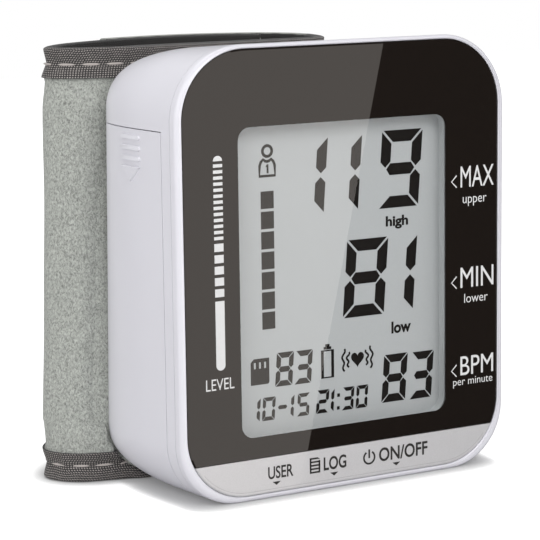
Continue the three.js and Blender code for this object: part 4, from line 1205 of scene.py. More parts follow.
# Shares of a figure's height: its pen, the gap between segments and its slant
PEN, PEN_GAP, FIGURE_SLANT = 0.152, 0.02, 0.075
LARGE_FIGURE = 10
LIT = {
    "0": "top bottom upper_left upper_right lower_left lower_right",
    "1": "upper_right lower_right",
    "2": "top upper_right middle lower_left bottom",
    "3": "top upper_right middle lower_right bottom",
    "5": "top upper_left middle lower_right bottom",
    "8": "top bottom middle upper_left upper_right lower_left lower_right",
    "9": "top bottom middle upper_left upper_right lower_right",
    "-": "middle",
}


def digit(figure, x, z, w, h):
    """Seven-segment figure of width w and height h; x and z are its lower left corner."""
    pen, gap, half = h * PEN, h * PEN_GAP, h / 2
    bar = pen * (1.0 if h > LARGE_FIGURE else 1.1)
    upright = [
        (0, h - gap), (pen, h - pen - gap), (pen, half + pen / 2 + gap * 1.2),
        (pen / 2, half + gap * 1.2), (0, half + pen / 2 + gap),
    ]
    level = [(gap, h), (w - gap, h), (w - pen - gap, h - bar), (pen + gap, h - bar)]
    tip, shoulder = pen / 2 + gap * 0.9, pen * 0.92 + gap * 0.5
    middle = [
        (tip, half), (shoulder, half + bar / 2), (w - shoulder, half + bar / 2),
        (w - tip, half), (w - shoulder, half - bar / 2), (shoulder, half - bar / 2),
    ]
    shapes = {
        "top": level, "bottom": [(px, h - pz) for px, pz in level], "middle": middle,
        "upper_left": upright, "upper_right": [(w - px, pz) for px, pz in upright],
        "lower_left": [(px, h - pz) for px, pz in upright],
        "lower_right": [(w - px, h - pz) for px, pz in upright],
    }
    return [
        [(x + px + pz * FIGURE_SLANT, z + pz) for px, pz in shapes[part]]
        for part in LIT[figure].split()
    ]


# Each figure with its left edge, foot, width and height
FIGURES = [
    ("1", -9.65, 44.2, 6.95, 12.3), ("1", -3.25, 44.2, 6.95, 12.3), ("9", 7.48, 44.1, 7.75, 12.55),
    ("8", 0.72, 26.9, 7.8, 12.6), ("1", 7.2, 26.95, 6.95, 12.5),
    ("8", -11.98, 17.2, 3.14, 5.45), ("3", -8.5, 17.15, 3.15, 5.4),
    ("8", 7.98, 12.1, 4.6, 7.9), ("3", 13.35, 12.0, 4.35, 7.85),
    ("1", -17.2, 11.95, 2.3, 3.8), ("0", -14.46, 11.95, 2.3, 3.75), ("-", -12.0, 11.9, 2.4, 3.8),
    ("1", -11.0, 11.9, 2.3, 3.7), ("5", -8.07, 11.88, 2.25, 3.7), ("2", -4.5, 11.86, 2.3, 3.8),
    ("1", -3.5, 11.85, 2.3, 3.75), ("3", 0.35, 11.82, 2.2, 3.75), ("0", 3.0, 11.8, 2.2, 3.75),
]
# Outline of the wearer's sign below its head
COAT = [
    (-14.3, 50.95), (-14.25, 52.6), (-14.0, 53.2), (-13.6, 53.55), (-13.3, 53.3), (-12.9, 53.2),
    (-12.5, 53.3), (-12.2, 53.55), (-11.8, 53.2), (-11.55, 52.6), (-11.5, 50.95),
]


class MONITOR_OT_display(bpy.types.Operator):
    """Builds the display's figures and signs."""

    bl_idname = "monitor.display"
    bl_label = "Display"

    def execute(self, context):
        face = in_mm(context.scene.monitor_face)
        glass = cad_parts["display_glass"]
        glass.material_slots[0].material = material("display_glass")
        depth = (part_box("display_glass")[0][1] - ORIGIN.y) / MM
        figures = [shape for figure in FIGURES for shape in digit(*figure)]
        pieces = {
            "display_figures": figures, "display_signs": self.signs(),
            "display_words": self.words(),
        }
        for name, polygons in pieces.items():
            piece = marks(name, polygons, depth, face.segment, "segment_ink")
            finished(piece, "monitor", "display")
        return {'FINISHED'}

    def words(self):
        """Words beside the two upper rows of figures."""
        high = lettering("high", (9.0, 13.3), (40.6, 42.8), 0.034)
        return high + lettering("low", (10.0, 13.8), (23.4, 25.4), 0.036)

    def signs(self):
        """The wearer's sign, the scale's bars, card, battery, heart and the colon."""
        polygons = ribbon(arc(-12.87, 54.84, 0.84, 0, 342, 19), 0.48, True)
        polygons += ribbon(COAT, 0.46, True)
        polygons.append(rectangle(-13.0, -12.66, 51.35, 52.75))
        polygons.append([(-13.22, 52.3), (-12.98, 52.38), (-12.98, 52.75)])
        tops = [48.55 - index * 3.19 for index in range(7)]
        polygons += [rectangle(-14.14, -11.8, top - 2.75, top) for top in tops]
        polygons += self.card() + self.battery() + self.heart()
        polygons.append(rectangle(-0.46, 0.06, 14.15, 14.72))
        polygons.append(rectangle(-0.54, -0.02, 12.05, 12.62))
        return polygons

    def card(self):
        """Memory card: cut corner, and a row of contacts left bare."""
        left, right, low, high = -16.37, -13.0, 20.5, 21.5
        return [
            [(left, 17.9), (right - 0.25, 17.9), (right, 18.2), (right, low), (left, low)],
            [(left, high), (right, high), (right, 22.1), (left + 0.57, 22.1)],
            *(rectangle(left + i * 0.93, left + i * 0.93 + 0.58, low, high) for i in range(4)),
        ]

    def battery(self):
        """Outline of a battery with its two-stepped cap."""
        left, right, low, high = -3.18, -1.27, 17.6, 22.0
        middle = (left + right) / 2
        return [
            *ribbon(rectangle(left, right, low, high), 0.56, True),
            rectangle(middle - 0.72, middle + 0.72, high + 0.2, high + 0.62),
            rectangle(middle - 0.4, middle + 0.4, high + 0.62, high + 1.05),
        ]

    def heart(self):
        """Heart with two pulse waves on each side."""
        x, z = 3.45, 20.05
        outline = []
        for turn in span(0, 2 * math.pi, 36)[:-1]:
            across = 16 * math.sin(turn) ** 3
            up = 13 * math.cos(turn) - 5 * math.cos(2 * turn) - 2 * math.cos(3 * turn)
            outline.append((x + across * 0.077, z + (up - math.cos(4 * turn)) * 0.085))
        polygons = [outline]
        for side in (-1, 1):
            for reach, tall in ((1.9, 1.25), (2.75, 1.85)):
                wave = []
                for rise in span(-1, 1, 16):
                    bend = 0.2 * math.sin(2 * math.pi * (rise + 1)) - 0.3 * rise ** 2
                    wave.append((x + side * (reach + bend), z + tall * rise))
                polygons += ribbon(wave, 0.34)
        return polygons


# Keys and works

KEY_ROUND = 0.25


class MONITOR_OT_keys(bpy.types.Operator):
    """Finishes the three keys in the underside."""

    bl_idname = "monitor.keys"
    bl_label = "Keys"

    def execute(self, context):
        for number in (1, 2, 3):
            cap = smooth_copy(f"key_{number}_cap", f"key_cap_{number}", "shell_plastic", 35)
            softened(cap, KEY_ROUND)
            finished(cap, f"key_{number}", "white_plastic", f"key_cap_{number}")
        return {'FINISHED'}


WORKS = {
    "plated_steel": (
        "case_screw_1 case_screw_2 case_screw_3 case_screw_4 contact_link contact_positive "
        "contact_negative battery_spring_1 battery_spring_2 valve_frame valve_plunger pump_rotor"
    ),
    "motor_can": "pump_motor",
    "dark_plastic": (
        "display_frame controller_chip buzzer pressure_sensor key_switch_1 key_switch_2 "
        "key_switch_3 battery_tray pump_body cuff_plate"
    ),
    "clear_plastic": "key_plunger_1 key_plunger_2 key_plunger_3 cuff_stiffener",
    "shell_plastic": "pump_cap valve_cap air_manifold cuff_nipple",
    "black_rubber": "display_connector",
    "circuit_green": "circuit_board",
    "cell_sleeve": "battery_cell_1 battery_cell_2",
    "wound_wire": "valve_coil",
}
SOFT_WORKS = {
    "air_tube_pump": ("pump_tube", "soft_silicone", "silicone"),
    "air_tube_valve": ("valve_tube", "soft_silicone", "silicone"),
    "air_tube_sensor": ("sensor_tube", "soft_silicone", "silicone"),
    "pump_membrane": ("pump_diaphragm", "black_rubber", "diaphragm"),
    "motor_lead": ("pump_lead", "black_rubber", "cloth"),
}


class MONITOR_OT_works(bpy.types.Operator):
    """Finishes the parts inside the casing."""

    bl_idname = "monitor.works"
    bl_label = "Works"

    def execute(self, context):
        for finish, nodes in WORKS.items():
            for node in nodes.split():
                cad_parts[node].material_slots[0].material = material(finish)
        for name, (node, finish, slot) in SOFT_WORKS.items():
            finished(smooth_copy(name, node, finish, 50), "monitor", slot, node)
        return {'FINISHED'}


# Cuff

CUFF_LEFT, CUFF_WIDTH, CUFF_FRONT, CUFF_DEPTH = -35.904, 52.0, 27.1, 22.9
# Shares of the cuff's width and depth, from the sleeve's right end round its front
SLEEVE_PLAN = [
    (1, 0.432), (0.977, 0.2), (0.925, 0.06), (0.88, 0.012), (0.84, 0), (0.79, 0), (0.5, 0),
    (0.3, 0), (0.25, 0), (0.2, 0.01), (0.13, 0.045), (0.041, 0.14), (0, 0.285), (0.025, 0.44),
    (0.105, 0.63), (0.228, 0.79), (0.42, 0.952), (0.615, 1), (0.774, 0.92), (0.878, 0.745),
]
# The same for the tail, from where it leaves the sleeve to the right end
TAIL_PLAN = [(0.885, 0.945), (0.955, 0.79), (0.992, 0.62), (1, 0.472)]
# Shares of the sleeve that the tail lies over, and how far off it
OVERLAP = (0.745, 0.925)
TAIL_LIFT = 3.0
# Start, end and blend of the padding over the bladder, as shares of the sleeve
PAD_SPAN = (0.08, 0.43, 0.05)
PLAN_STEPS = 40


def plan_point(across, back):
    """A point of the cuff's path, from shares of its width and its depth."""
    return Vector((CUFF_LEFT + CUFF_WIDTH * across, CUFF_FRONT + CUFF_DEPTH * back))


class PlanLine:
    """Smooth centripetal line through plan points, read by share of its length."""

    def __init__(self, points):
        ends = [points[0] * 2 - points[1], *points, points[-1] * 2 - points[-2]]
        spots = [points[0]]
        for a, b, c, d in zip(ends, ends[1:], ends[2:], ends[3:]):
            first, second, third = ((q - p).length ** 0.5 for p, q in ((a, b), (b, c), (c, d)))
            start = ((b - a) / first - (c - a) / (first + second) + (c - b) / second) * second
            end = ((c - b) / second - (d - b) / (second + third) + (d - c) / third) * second
            bend = (b - c) * 2 + start + end
            pull = (c - b) * 3 - start * 2 - end
            spots += [
                b + start * t + pull * t ** 2 + bend * t ** 3 for t in span(0, 1, PLAN_STEPS)[1:]
            ]
        runs = [(q - p).length for p, q in zip(spots, spots[1:])]
        self.marks = np.concatenate([[0.0], np.cumsum(runs)])
        self.length = float(self.marks[-1])
        self.xs = np.array([spot.x for spot in spots])
        self.ys = np.array([spot.y for spot in spots])

    def place(self, share):
        """Place at a share of the line."""
        reach = share * self.length
        x, y = (np.interp(reach, self.marks, values) for values in (self.xs, self.ys))
        return Vector((x, y))

    def moved(self, share, distance):
        """Place at a share of the line, moved inwards from it."""
        step = 0.002
        run = (self.place(min(1, share + step)) - self.place(max(0, share - step))).normalized()
        return self.place(share) + Vector((run.y, -run.x)) * distance


def sleeve_line():
    """From the sleeve's right end round the front to where it ends under the tail."""
    return PlanLine([plan_point(*spot) for spot in SLEEVE_PLAN])


def tail_line():
    """From the tail's free end round the far wall to the end of the sleeve."""
    sleeve = sleeve_line()
    over = [sleeve.moved(share, -TAIL_LIFT) for share in span(*OVERLAP, 9)]
    return PlanLine([*over, *(plan_point(*spot) for spot in TAIL_PLAN), sleeve.place(0)])


def smoothstep(value):
    """A soft step from 0 to 1."""
    value = min(1.0, max(0.0, value))
    return value * value * (3 - 2 * value)


FLARE = SimpleNamespace(
    back=44, back_run=14, corner=-27.5, corner_run=4.5, under=-19, under_run=5, under_lap=0.4,
    under_rise=2.4, case_left=-31.2, case_radius=8.5, case_gap=0.6, lean=0.05, lean_from=-26,
)


def flared(sizes, x, y, z):
    """A place moved by the flare of the sleeve's lower left corner, which runs under the casing."""
    low = 1 - min(1.0, z / sizes.height)
    back = smoothstep((FLARE.back - y) / FLARE.back_run)
    corner = smoothstep((FLARE.corner - x) / FLARE.corner_run)
    side = sizes.flare_side * corner * low ** 1.25 * back
    radius = FLARE.case_radius
    nook = radius - min(radius, max(0.0, x - side - FLARE.case_left))
    room = radius + FLARE.case_gap - math.sqrt(radius ** 2 - nook ** 2)
    under = smoothstep((FLARE.under - x) / FLARE.under_run)
    under *= 1 - smoothstep((z - room + FLARE.under_lap) / FLARE.under_rise)
    lean = 1 - FLARE.lean * max(0.0, FLARE.lean_from - x)
    front = sizes.flare_front * lean * max(under, corner * low ** 1.4)
    return x - side, y - front * back, z


class Wall:
    """Stretch of the cuff's wall along a plan line; only the sleeve's is padded and flared."""

    def __init__(self, sizes, line, sleeve=False):
        self.sizes = sizes
        self.line = line
        self.sleeve = sleeve

    def reach(self, share):
        """Length along the line up to a share of it."""
        return share * self.line.length

    def thickness(self, share):
        """Thickness of the wall, with the padding over the air bladder."""
        if not self.sleeve:
            return self.sizes.fabric
        start, end, blend = PAD_SPAN
        room = min(share - start, end - share)
        return self.sizes.fabric + self.sizes.padding * smoothstep(room / blend)

    def place(self, share, distance, z):
        """A place at a share of the line, a distance inwards from it."""
        spot = self.line.moved(share, distance)
        return flared(self.sizes, spot.x, spot.y, z) if self.sleeve else (spot.x, spot.y, z)

    def inner_length(self, shares):
        """Length along the wall's inner face."""
        spots = [self.line.moved(share, self.thickness(share)) for share in shares]
        return sum((after - before).length for before, after in zip(spots, spots[1:]))


def swept(name, wall, shares, section, finish):
    """Closed strip along a wall; section gives places (distance inwards, z) at a share of it."""
    rings = [section(wall, share) for share in shares]
    points = [wall.place(share, *spot) for share, ring in zip(shares, rings) for spot in ring]
    size, rows = len(rings[0]), len(rings)
    mesh = mesh_of(name, points, tube_faces(size, rows))
    spans = [[math.dist(p, q) for p, q in zip(ring, ring[1:] + ring[:1])] for ring in rings]
    across = [np.concatenate([[0.0], np.cumsum(steps)]) for steps in spans]
    grid = np.array(points).reshape(rows, size, 3)
    runs = np.linalg.norm(np.diff(grid, axis=0), axis=2)
    along = np.concatenate([np.zeros((1, size)), np.cumsum(runs, axis=0)])
    corners = mesh.uv_layers.new(name="cloth").data
    for polygon in mesh.polygons:
        last_side = polygon.index % size == size - 1 and polygon.index < (rows - 1) * size
        for loop in polygon.loop_indices:
            row, side = divmod(mesh.loops[loop].vertex_index, size)
            turn = size if last_side and side == 0 else side
            corners[loop].uv = (along[row][side] * MM, across[row][turn] * MM)
    return piece_of(name, outward(mesh), finish, 60)


INNER_PULL = 0.55
STITCH_RIPPLE = 0.18


def tape_stand(sizes, drop, reach, side=1.0):
    """How far the wall stands out under the tape: drawn in at the rim, and more at each stitch."""
    ripple = 1 - STITCH_RIPPLE + STITCH_RIPPLE * math.cos(2 * math.pi * reach / sizes.stitch_pitch)
    pull = sizes.seam_draw * side * ripple
    if drop < sizes.seam:
        return -sizes.rim_draw - (pull - sizes.rim_draw) * (drop / sizes.seam) ** 1.5
    share = (sizes.binding - drop) / (sizes.binding - sizes.seam)
    return sizes.edge_stand - (pull + sizes.edge_stand) * max(0.0, share) ** 1.3


def rim_stand(sizes, z, reach, side=1.0):
    """How far a cloth's face stands out at a height, as the tape over it pulls it."""
    drop = min(z, sizes.height - z)
    return tape_stand(sizes, drop, reach, side) if drop < sizes.binding else 0.0


def fold(start, end, depth, steps):
    """Places (distance, drop) where a tape turns over an edge, from one face to the other."""
    turns = span(0, math.pi, steps)[1:-1]
    return [
        (start + (end - start) * (1 - math.cos(turn)) / 2, depth * (1 - math.sin(turn)))
        for turn in turns
    ]


TAPE_FOLD = 0.4
TAPE_INSIDE = 0.8
TAPE_CLEARANCE = 0.03


def tape_section(wall, share, top):
    """Section of the tape folded over the wall's upper or lower rim."""
    sizes, thickness, reach = wall.sizes, wall.thickness(share), wall.reach(share)

    def outer(drops, lift):
        return [(-tape_stand(sizes, drop, reach) - lift, drop) for drop in drops]

    def inner(drops, lift):
        return [
            (thickness + tape_stand(sizes, drop, reach, INNER_PULL) + lift, drop) for drop in drops
        ]

    drops = span(sizes.binding, TAPE_FOLD, 16)
    inward = span(sizes.binding, TAPE_INSIDE, 8)
    front, back = outer(drops, sizes.tape), inner(drops[::-1], sizes.tape)
    ring = [
        *front, *fold(front[-1][0], back[0][0], TAPE_FOLD, 10), *back,
        *inner(inward, TAPE_CLEARANCE), *outer(inward[::-1], TAPE_CLEARANCE),
    ]
    rim, way = (sizes.height, -1) if top else (0.0, 1)
    return [(distance, rim + way * drop) for distance, drop in ring]


def tapes_of(name, wall, shares, finish):
    """The tapes over the upper and the lower rim of a wall."""
    return [
        swept(
            f"{name}_tape_{rim}", wall, shares,
            lambda wall, share, top=top: tape_section(wall, share, top), finish,
        )
        for rim, top in (("top", True), ("bottom", False))
    ]


CLOTH_INSET = 0.75
FLEECE_SWELL = 0.34
# Depth of each ripple in the brushed cloth, and how far it runs along and up
RIPPLES = ((0.06, 5.1, 7.3), (0.05, -8.7, 3.9))


def fleece_section(wall, share):
    """Section of the brushed cloth: a soft face, drawn in under the tape."""
    sizes, reach = wall.sizes, wall.reach(share)
    low, high = CLOTH_INSET, sizes.height - CLOTH_INSET
    face = []
    for z in span(low, high, 84):
        room = min(z, sizes.height - z) - sizes.binding
        soft = FLEECE_SWELL * smoothstep(room / 5)
        wave = sum(depth * math.sin(reach / run + z / rise) for depth, run, rise in RIPPLES)
        face.append((-rim_stand(sizes, z, reach) - soft - wave * smoothstep(room / 6), z))
    return [*face, (sizes.fleece, high), (sizes.fleece, low)]


def lining_section(wall, share):
    """Section of the inner cloth, drawn in under the tape."""
    sizes, thickness, reach = wall.sizes, wall.thickness(share), wall.reach(share)
    low, high = CLOTH_INSET, sizes.height - CLOTH_INSET
    face = [
        (thickness + rim_stand(sizes, z, reach, INNER_PULL), z) for z in span(high, low, 56)
    ]
    return [(thickness - sizes.lining, low), (thickness - sizes.lining, high), *face]


WRAP_STEPS = 230
BLADDER = SimpleNamespace(
    start=0.12, end=0.385, blend=0.03, middle=2.3, low=3.2, high=67.2, weld=2, slope=3.5, film=0.12,
    swell=0.38, fill=0.2,
)


def bladder_section(wall, share):
    """Section of the air bladder: flat welded edges, and a middle that swells a little."""
    room = min(share - BLADDER.start, BLADDER.end - share) / BLADDER.blend
    swell = BLADDER.film + BLADDER.swell * smoothstep(room)
    drops = ((0, BLADDER.film), (BLADDER.weld, BLADDER.film), (BLADDER.slope, swell))
    half = [(BLADDER.low + drop, thick) for drop, thick in drops]
    half += [(BLADDER.high - drop, thick) for drop, thick in reversed(drops)]
    front = [(BLADDER.middle - thick, z) for z, thick in half]
    return front + [(BLADDER.middle + thick, z) for z, thick in reversed(half)]


class MONITOR_OT_sleeve(bpy.types.Operator):
    """Builds the cuff's sleeve: brushed cloth, lining, bladder and the tape on both rims."""

    bl_idname = "monitor.sleeve"
    bl_label = "Cuff sleeve"

    def execute(self, context):
        sizes = in_mm(context.scene.monitor_cuff)
        wall = Wall(sizes, sleeve_line(), True)
        shares = span(0, 1, WRAP_STEPS)
        fleece = swept("sleeve_fleece", wall, shares, fleece_section, "brushed_fleece")
        lining = swept("sleeve_lining", wall, shares, lining_section, "knit_lining")
        tapes = tapes_of("sleeve", wall, shares, "woven_tape")
        finished(fleece, "monitor", "fleece", "cuff_fleece")
        finished(lining, "monitor", "cloth", "cuff_lining")
        finished(tapes[0], "monitor", "cloth", "cuff_binding_top")
        finished(tapes[1], "monitor", "cloth", "cuff_binding_bottom")
        inner = wall.inner_length(shares)
        bag = swept(
            "sleeve_bladder", Wall(sizes, wall.line), span(BLADDER.start, BLADDER.end, 60),
            bladder_section, "soft_silicone",
        )
        finished(bag, "monitor", "silicone", "cuff_bladder")
        return {'FINISHED'}


TAPE_START = 0.3
END_TAPE = SimpleNamespace(
    inset=0.4, fold=0.35, inside=0.6, lift=0.06, swell=0.3, gap=0.02, pitch=0.35,
)
PATCH = SimpleNamespace(start=6.6, end=20.6, low=6.6, high=63.8, gap=0.3, thickness=0.85)


def joined(piece, slot, line, *nodes):
    """Bakes a piece of the tail's placing into its mesh, and hides the CAD nodes that it stands
    for; the slot is not used.
    """
    if nodes:
        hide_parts(*nodes)
    start = line.place(1)
    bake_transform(piece)


class MONITOR_OT_tail(bpy.types.Operator):
    """Builds the cuff's tail with its tape and its hook patch."""

    bl_idname = "monitor.tail"
    bl_label = "Cuff tail"

    def execute(self, context):
        sizes = in_mm(context.scene.monitor_cuff)
        wall = Wall(sizes, tail_line())
        line = wall.line
        shares = span(CLOTH_INSET / line.length, 1, WRAP_STEPS)
        fleece = swept("tail_outer_cloth", wall, shares, fleece_section, "brushed_fleece")
        lining = swept("tail_inner_cloth", wall, shares, lining_section, "knit_lining")
        tapes = tapes_of("tail", wall, span(TAPE_START / line.length, 1, WRAP_STEPS), "tail_tape")
        end_tape = self.end_tape(sizes, line)
        joined(fleece, "fleece", line, "tail_fleece")
        joined(lining, "cloth", line, "tail_lining")
        joined(tapes[0], "cloth", line, "tail_binding")
        joined(tapes[1], "cloth", line)
        finished(end_tape, "cuff_tail", "cloth")
        patch = self.patch(wall)
        finished(patch, "cuff_tail", "hook_tape", "hook_patch")
        inner = wall.inner_length(shares)
        return {'FINISHED'}

    def end_tape(self, sizes, line):
        """Upright tape folded over the tail's free end."""
        heights = span(END_TAPE.inset, sizes.height - END_TAPE.inset, 60)
        stand = sizes.tape + END_TAPE.lift
        outer = [
            (-stand - END_TAPE.swell * math.sin(math.pi * drop / sizes.binding), drop)
            for drop in span(sizes.binding, END_TAPE.fold, 10)
        ]
        inner = [(sizes.fabric - distance, drop) for distance, drop in reversed(outer)]
        front, back = -END_TAPE.gap, sizes.fabric + END_TAPE.gap
        ring = [
            *outer, *fold(outer[-1][0], inner[0][0], END_TAPE.fold, 8), *inner,
            (back, sizes.binding), (back, END_TAPE.inside), (front, END_TAPE.inside),
            (front, sizes.binding),
        ]
        size = len(ring)
        spots = [line.moved(drop / line.length, distance) for distance, drop in ring]
        points = [(spot.x, spot.y, z) for z in heights for spot in spots]
        mesh = outward(mesh_of("tail_end_tape", points, tube_faces(size, len(heights))))
        layer = mesh.uv_layers.new(name="cloth").data
        for loop in mesh.loops:
            row, side = divmod(loop.vertex_index, size)
            layer[loop.index].uv = (heights[row] * MM, side * END_TAPE.pitch * MM)
        return piece_of("tail_end_tape", mesh, "woven_tape", 60)

    def patch(self, wall):
        """Hook patch on the tail's inner face."""
        front = wall.sizes.fabric + PATCH.gap
        rises = span(PATCH.low, PATCH.high, 4)
        ring = [(front, z) for z in rises]
        ring += [(front + PATCH.thickness, z) for z in reversed(rises)]
        shares = span(PATCH.start / wall.line.length, PATCH.end / wall.line.length, 14)
        return swept("tail_hook_patch", wall, shares, lambda wall, share: ring, "hook_tape")


# Stitches

def stitch_tree():
    """Node tree that lays stitches along a line, with named inputs."""
    tree = bpy.data.node_groups.new("Stitches", 'GeometryNodeTree')
    face = tree.interface
    face.new_socket(name="Geometry", in_out='INPUT', socket_type='NodeSocketGeometry')
    for name in ("Pitch", "Length", "Thickness"):
        face.new_socket(name=name, in_out='INPUT', socket_type='NodeSocketFloat')
    face.new_socket(name="Thread", in_out='INPUT', socket_type='NodeSocketMaterial')
    face.new_socket(name="Geometry", in_out='OUTPUT', socket_type='NodeSocketGeometry')
    node = NodeTree(tree).node
    given = node("NodeGroupInput")
    thickness = given.beside("Thickness")
    line = node("GeometryNodeMeshToCurve", None, {"Mesh": given})
    dots = node(
        "GeometryNodeResampleCurve", {"mode": 'LENGTH'},
        {"Curve": line, "Length": given.beside("Pitch")},
    )
    ball = node("GeometryNodeMeshUVSphere", None, {"Segments": 8, "Rings": 6, "Radius": 0.5})
    size = node(
        "ShaderNodeCombineXYZ", None, {"X": given.beside("Length"), "Y": thickness, "Z": thickness}
    )
    stitch = node("GeometryNodeTransform", None, {"Geometry": ball, "Scale": size})
    tangent = node("GeometryNodeInputTangent")
    way = node("FunctionNodeAlignRotationToVector", {"axis": 'X'}, {"Vector": tangent})
    laid = node(
        "GeometryNodeInstanceOnPoints", None, {"Points": dots, "Instance": stitch, "Rotation": way}
    )
    real = node("GeometryNodeRealizeInstances", None, {"Geometry": laid})
    smooth = node("GeometryNodeSetShadeSmooth", None, {"Geometry": real})
    done = node(
        "GeometryNodeSetMaterial", None, {"Geometry": smooth, "Material": given.beside("Thread")}
    )
    node("NodeGroupOutput", None, {"Geometry": done})
    return tree


def sewn(name, points, sizes, tree):
    """A run of stitches along points in millimetres."""
    edges = [(i, i + 1) for i in range(len(points) - 1)]
    run = placed(name, mesh_of(name, points, [], edges))
    maker = run.modifiers.new("stitches", 'NODES')
    maker.node_group = tree
    given = {
        "Pitch": sizes.stitch_pitch * MM, "Length": sizes.stitch * MM,
        "Thickness": sizes.thread * MM, "Thread": material("sewing_thread"),
    }
    for item in tree.interface.items_tree:
        if item.in_out == 'INPUT' and item.name in given:
            maker[item.identifier] = given[item.name]
    bpy.context.view_layer.update()
    return frozen(run)


THREAD_SINK = 0.05
STITCH_SHARES = (0.01, 0.99)
TAIL_STITCH_START = 5.2


class MONITOR_OT_stitches(bpy.types.Operator):
    """Sews the tape to the cuff: one run on each face of each rim."""

    bl_idname = "monitor.stitches"
    bl_label = "Stitches"

    def execute(self, context):
        sizes = in_mm(context.scene.monitor_cuff)
        tree = stitch_tree()
        start, end = STITCH_SHARES
        tail = Wall(sizes, tail_line())
        for name, wall, first in (
            ("sleeve", Wall(sizes, sleeve_line(), True), start),
            ("tail", tail, TAIL_STITCH_START / tail.line.length),
        ):
            for rim, z in (("top", sizes.height - sizes.seam), ("bottom", sizes.seam)):
                for side in ("outer", "inner"):
                    points = [
                        self.spot(wall, share, z, side == "outer")
                        for share in span(first, end, 240)
                    ]
                    run = sewn(f"{name}_stitches_{rim}_{side}", points, sizes, tree)
                    if wall.sleeve:
                        finished(run, "monitor", "cloth")
                    else:
                        joined(run, "cloth", wall.line)
        return {'FINISHED'}

    def spot(self, wall, share, z, outer):
        """Place of the thread on the tape's outer or inner face."""
        sizes = wall.sizes
        stand = tape_stand(sizes, sizes.seam, wall.reach(share), 1.0 if outer else INNER_PULL)
        depth = sizes.tape - sizes.thread * THREAD_SINK + stand
        return wall.place(share, -depth if outer else wall.thickness(share) + depth, z)


# Stage

# Focal length and place in millimetres, angles in degrees
VIEW = SimpleNamespace(
    lens=146.62, yaw=29.757, pitch=9.42, roll=-0.772, place=(-181.61, -292.68, 92.55),
)


def camera_axes():
    """Right, up and back of the camera."""
    yaw, pitch, roll = (math.radians(angle) for angle in (VIEW.yaw, VIEW.pitch, VIEW.roll))
    level = math.cos(pitch)
    ahead = Vector((math.sin(yaw) * level, math.cos(yaw) * level, -math.sin(pitch)))
    right = ahead.cross(Vector((0, 0, 1))).normalized()
    up = right.cross(ahead)
    cosine, sine = math.cos(roll), math.sin(roll)
    return right * cosine + up * sine, up * cosine - right * sine, -ahead


LAMP_TARGET = (0, 20, 36)


def lamp(name, place, size, power):
    """Square lamp that points at the middle of the object."""
    light = bpy.data.lights.new(name, 'AREA')
    light.shape = 'SQUARE'
    light.size = size
    light.energy = power
    stand = placed(name, light)
    stand.location = at(*place)
    ahead = at(*LAMP_TARGET) - stand.location
    stand.rotation_euler = ahead.to_track_quat('-Z', 'Y').to_euler()


# Name, place, size and power of each lamp
LAMPS = [
    ("key_lamp", (-40, -620, 500), 0.4, 2.45),
    ("fill_lamp", (-620, -260, 380), 0.6, 1.72),
    ("top_lamp", (-60, 330, 560), 0.4, 0.9),
]
WORLD_LIGHT, WORLD_MIRROR = 0.52, 0.03
# X and Z of two places on the lens where the card's edge shows
GLARE_TOP, GLARE_FOOT = (6.9, 70.5), (-8.4, 3.8)
CARD_DISTANCE = 420.0
CARD_REACH = 260.0
CARD_FOOT, CARD_SIDE = 65.0, 416.0
CARD_LIGHT = 1.67
CARD_TINT = (1.0, 0.934, 0.875)
# Metres from the middle: the floor's edge, and where its shadow fades out
FLOOR_HALF = 0.8
FLOOR_FADE = (0.09, 0.24)
FLOOR_LIGHT = (0.8, 0.95)
FLOOR_NOOK = 0.0037
FLOOR_LEAST = 0.13


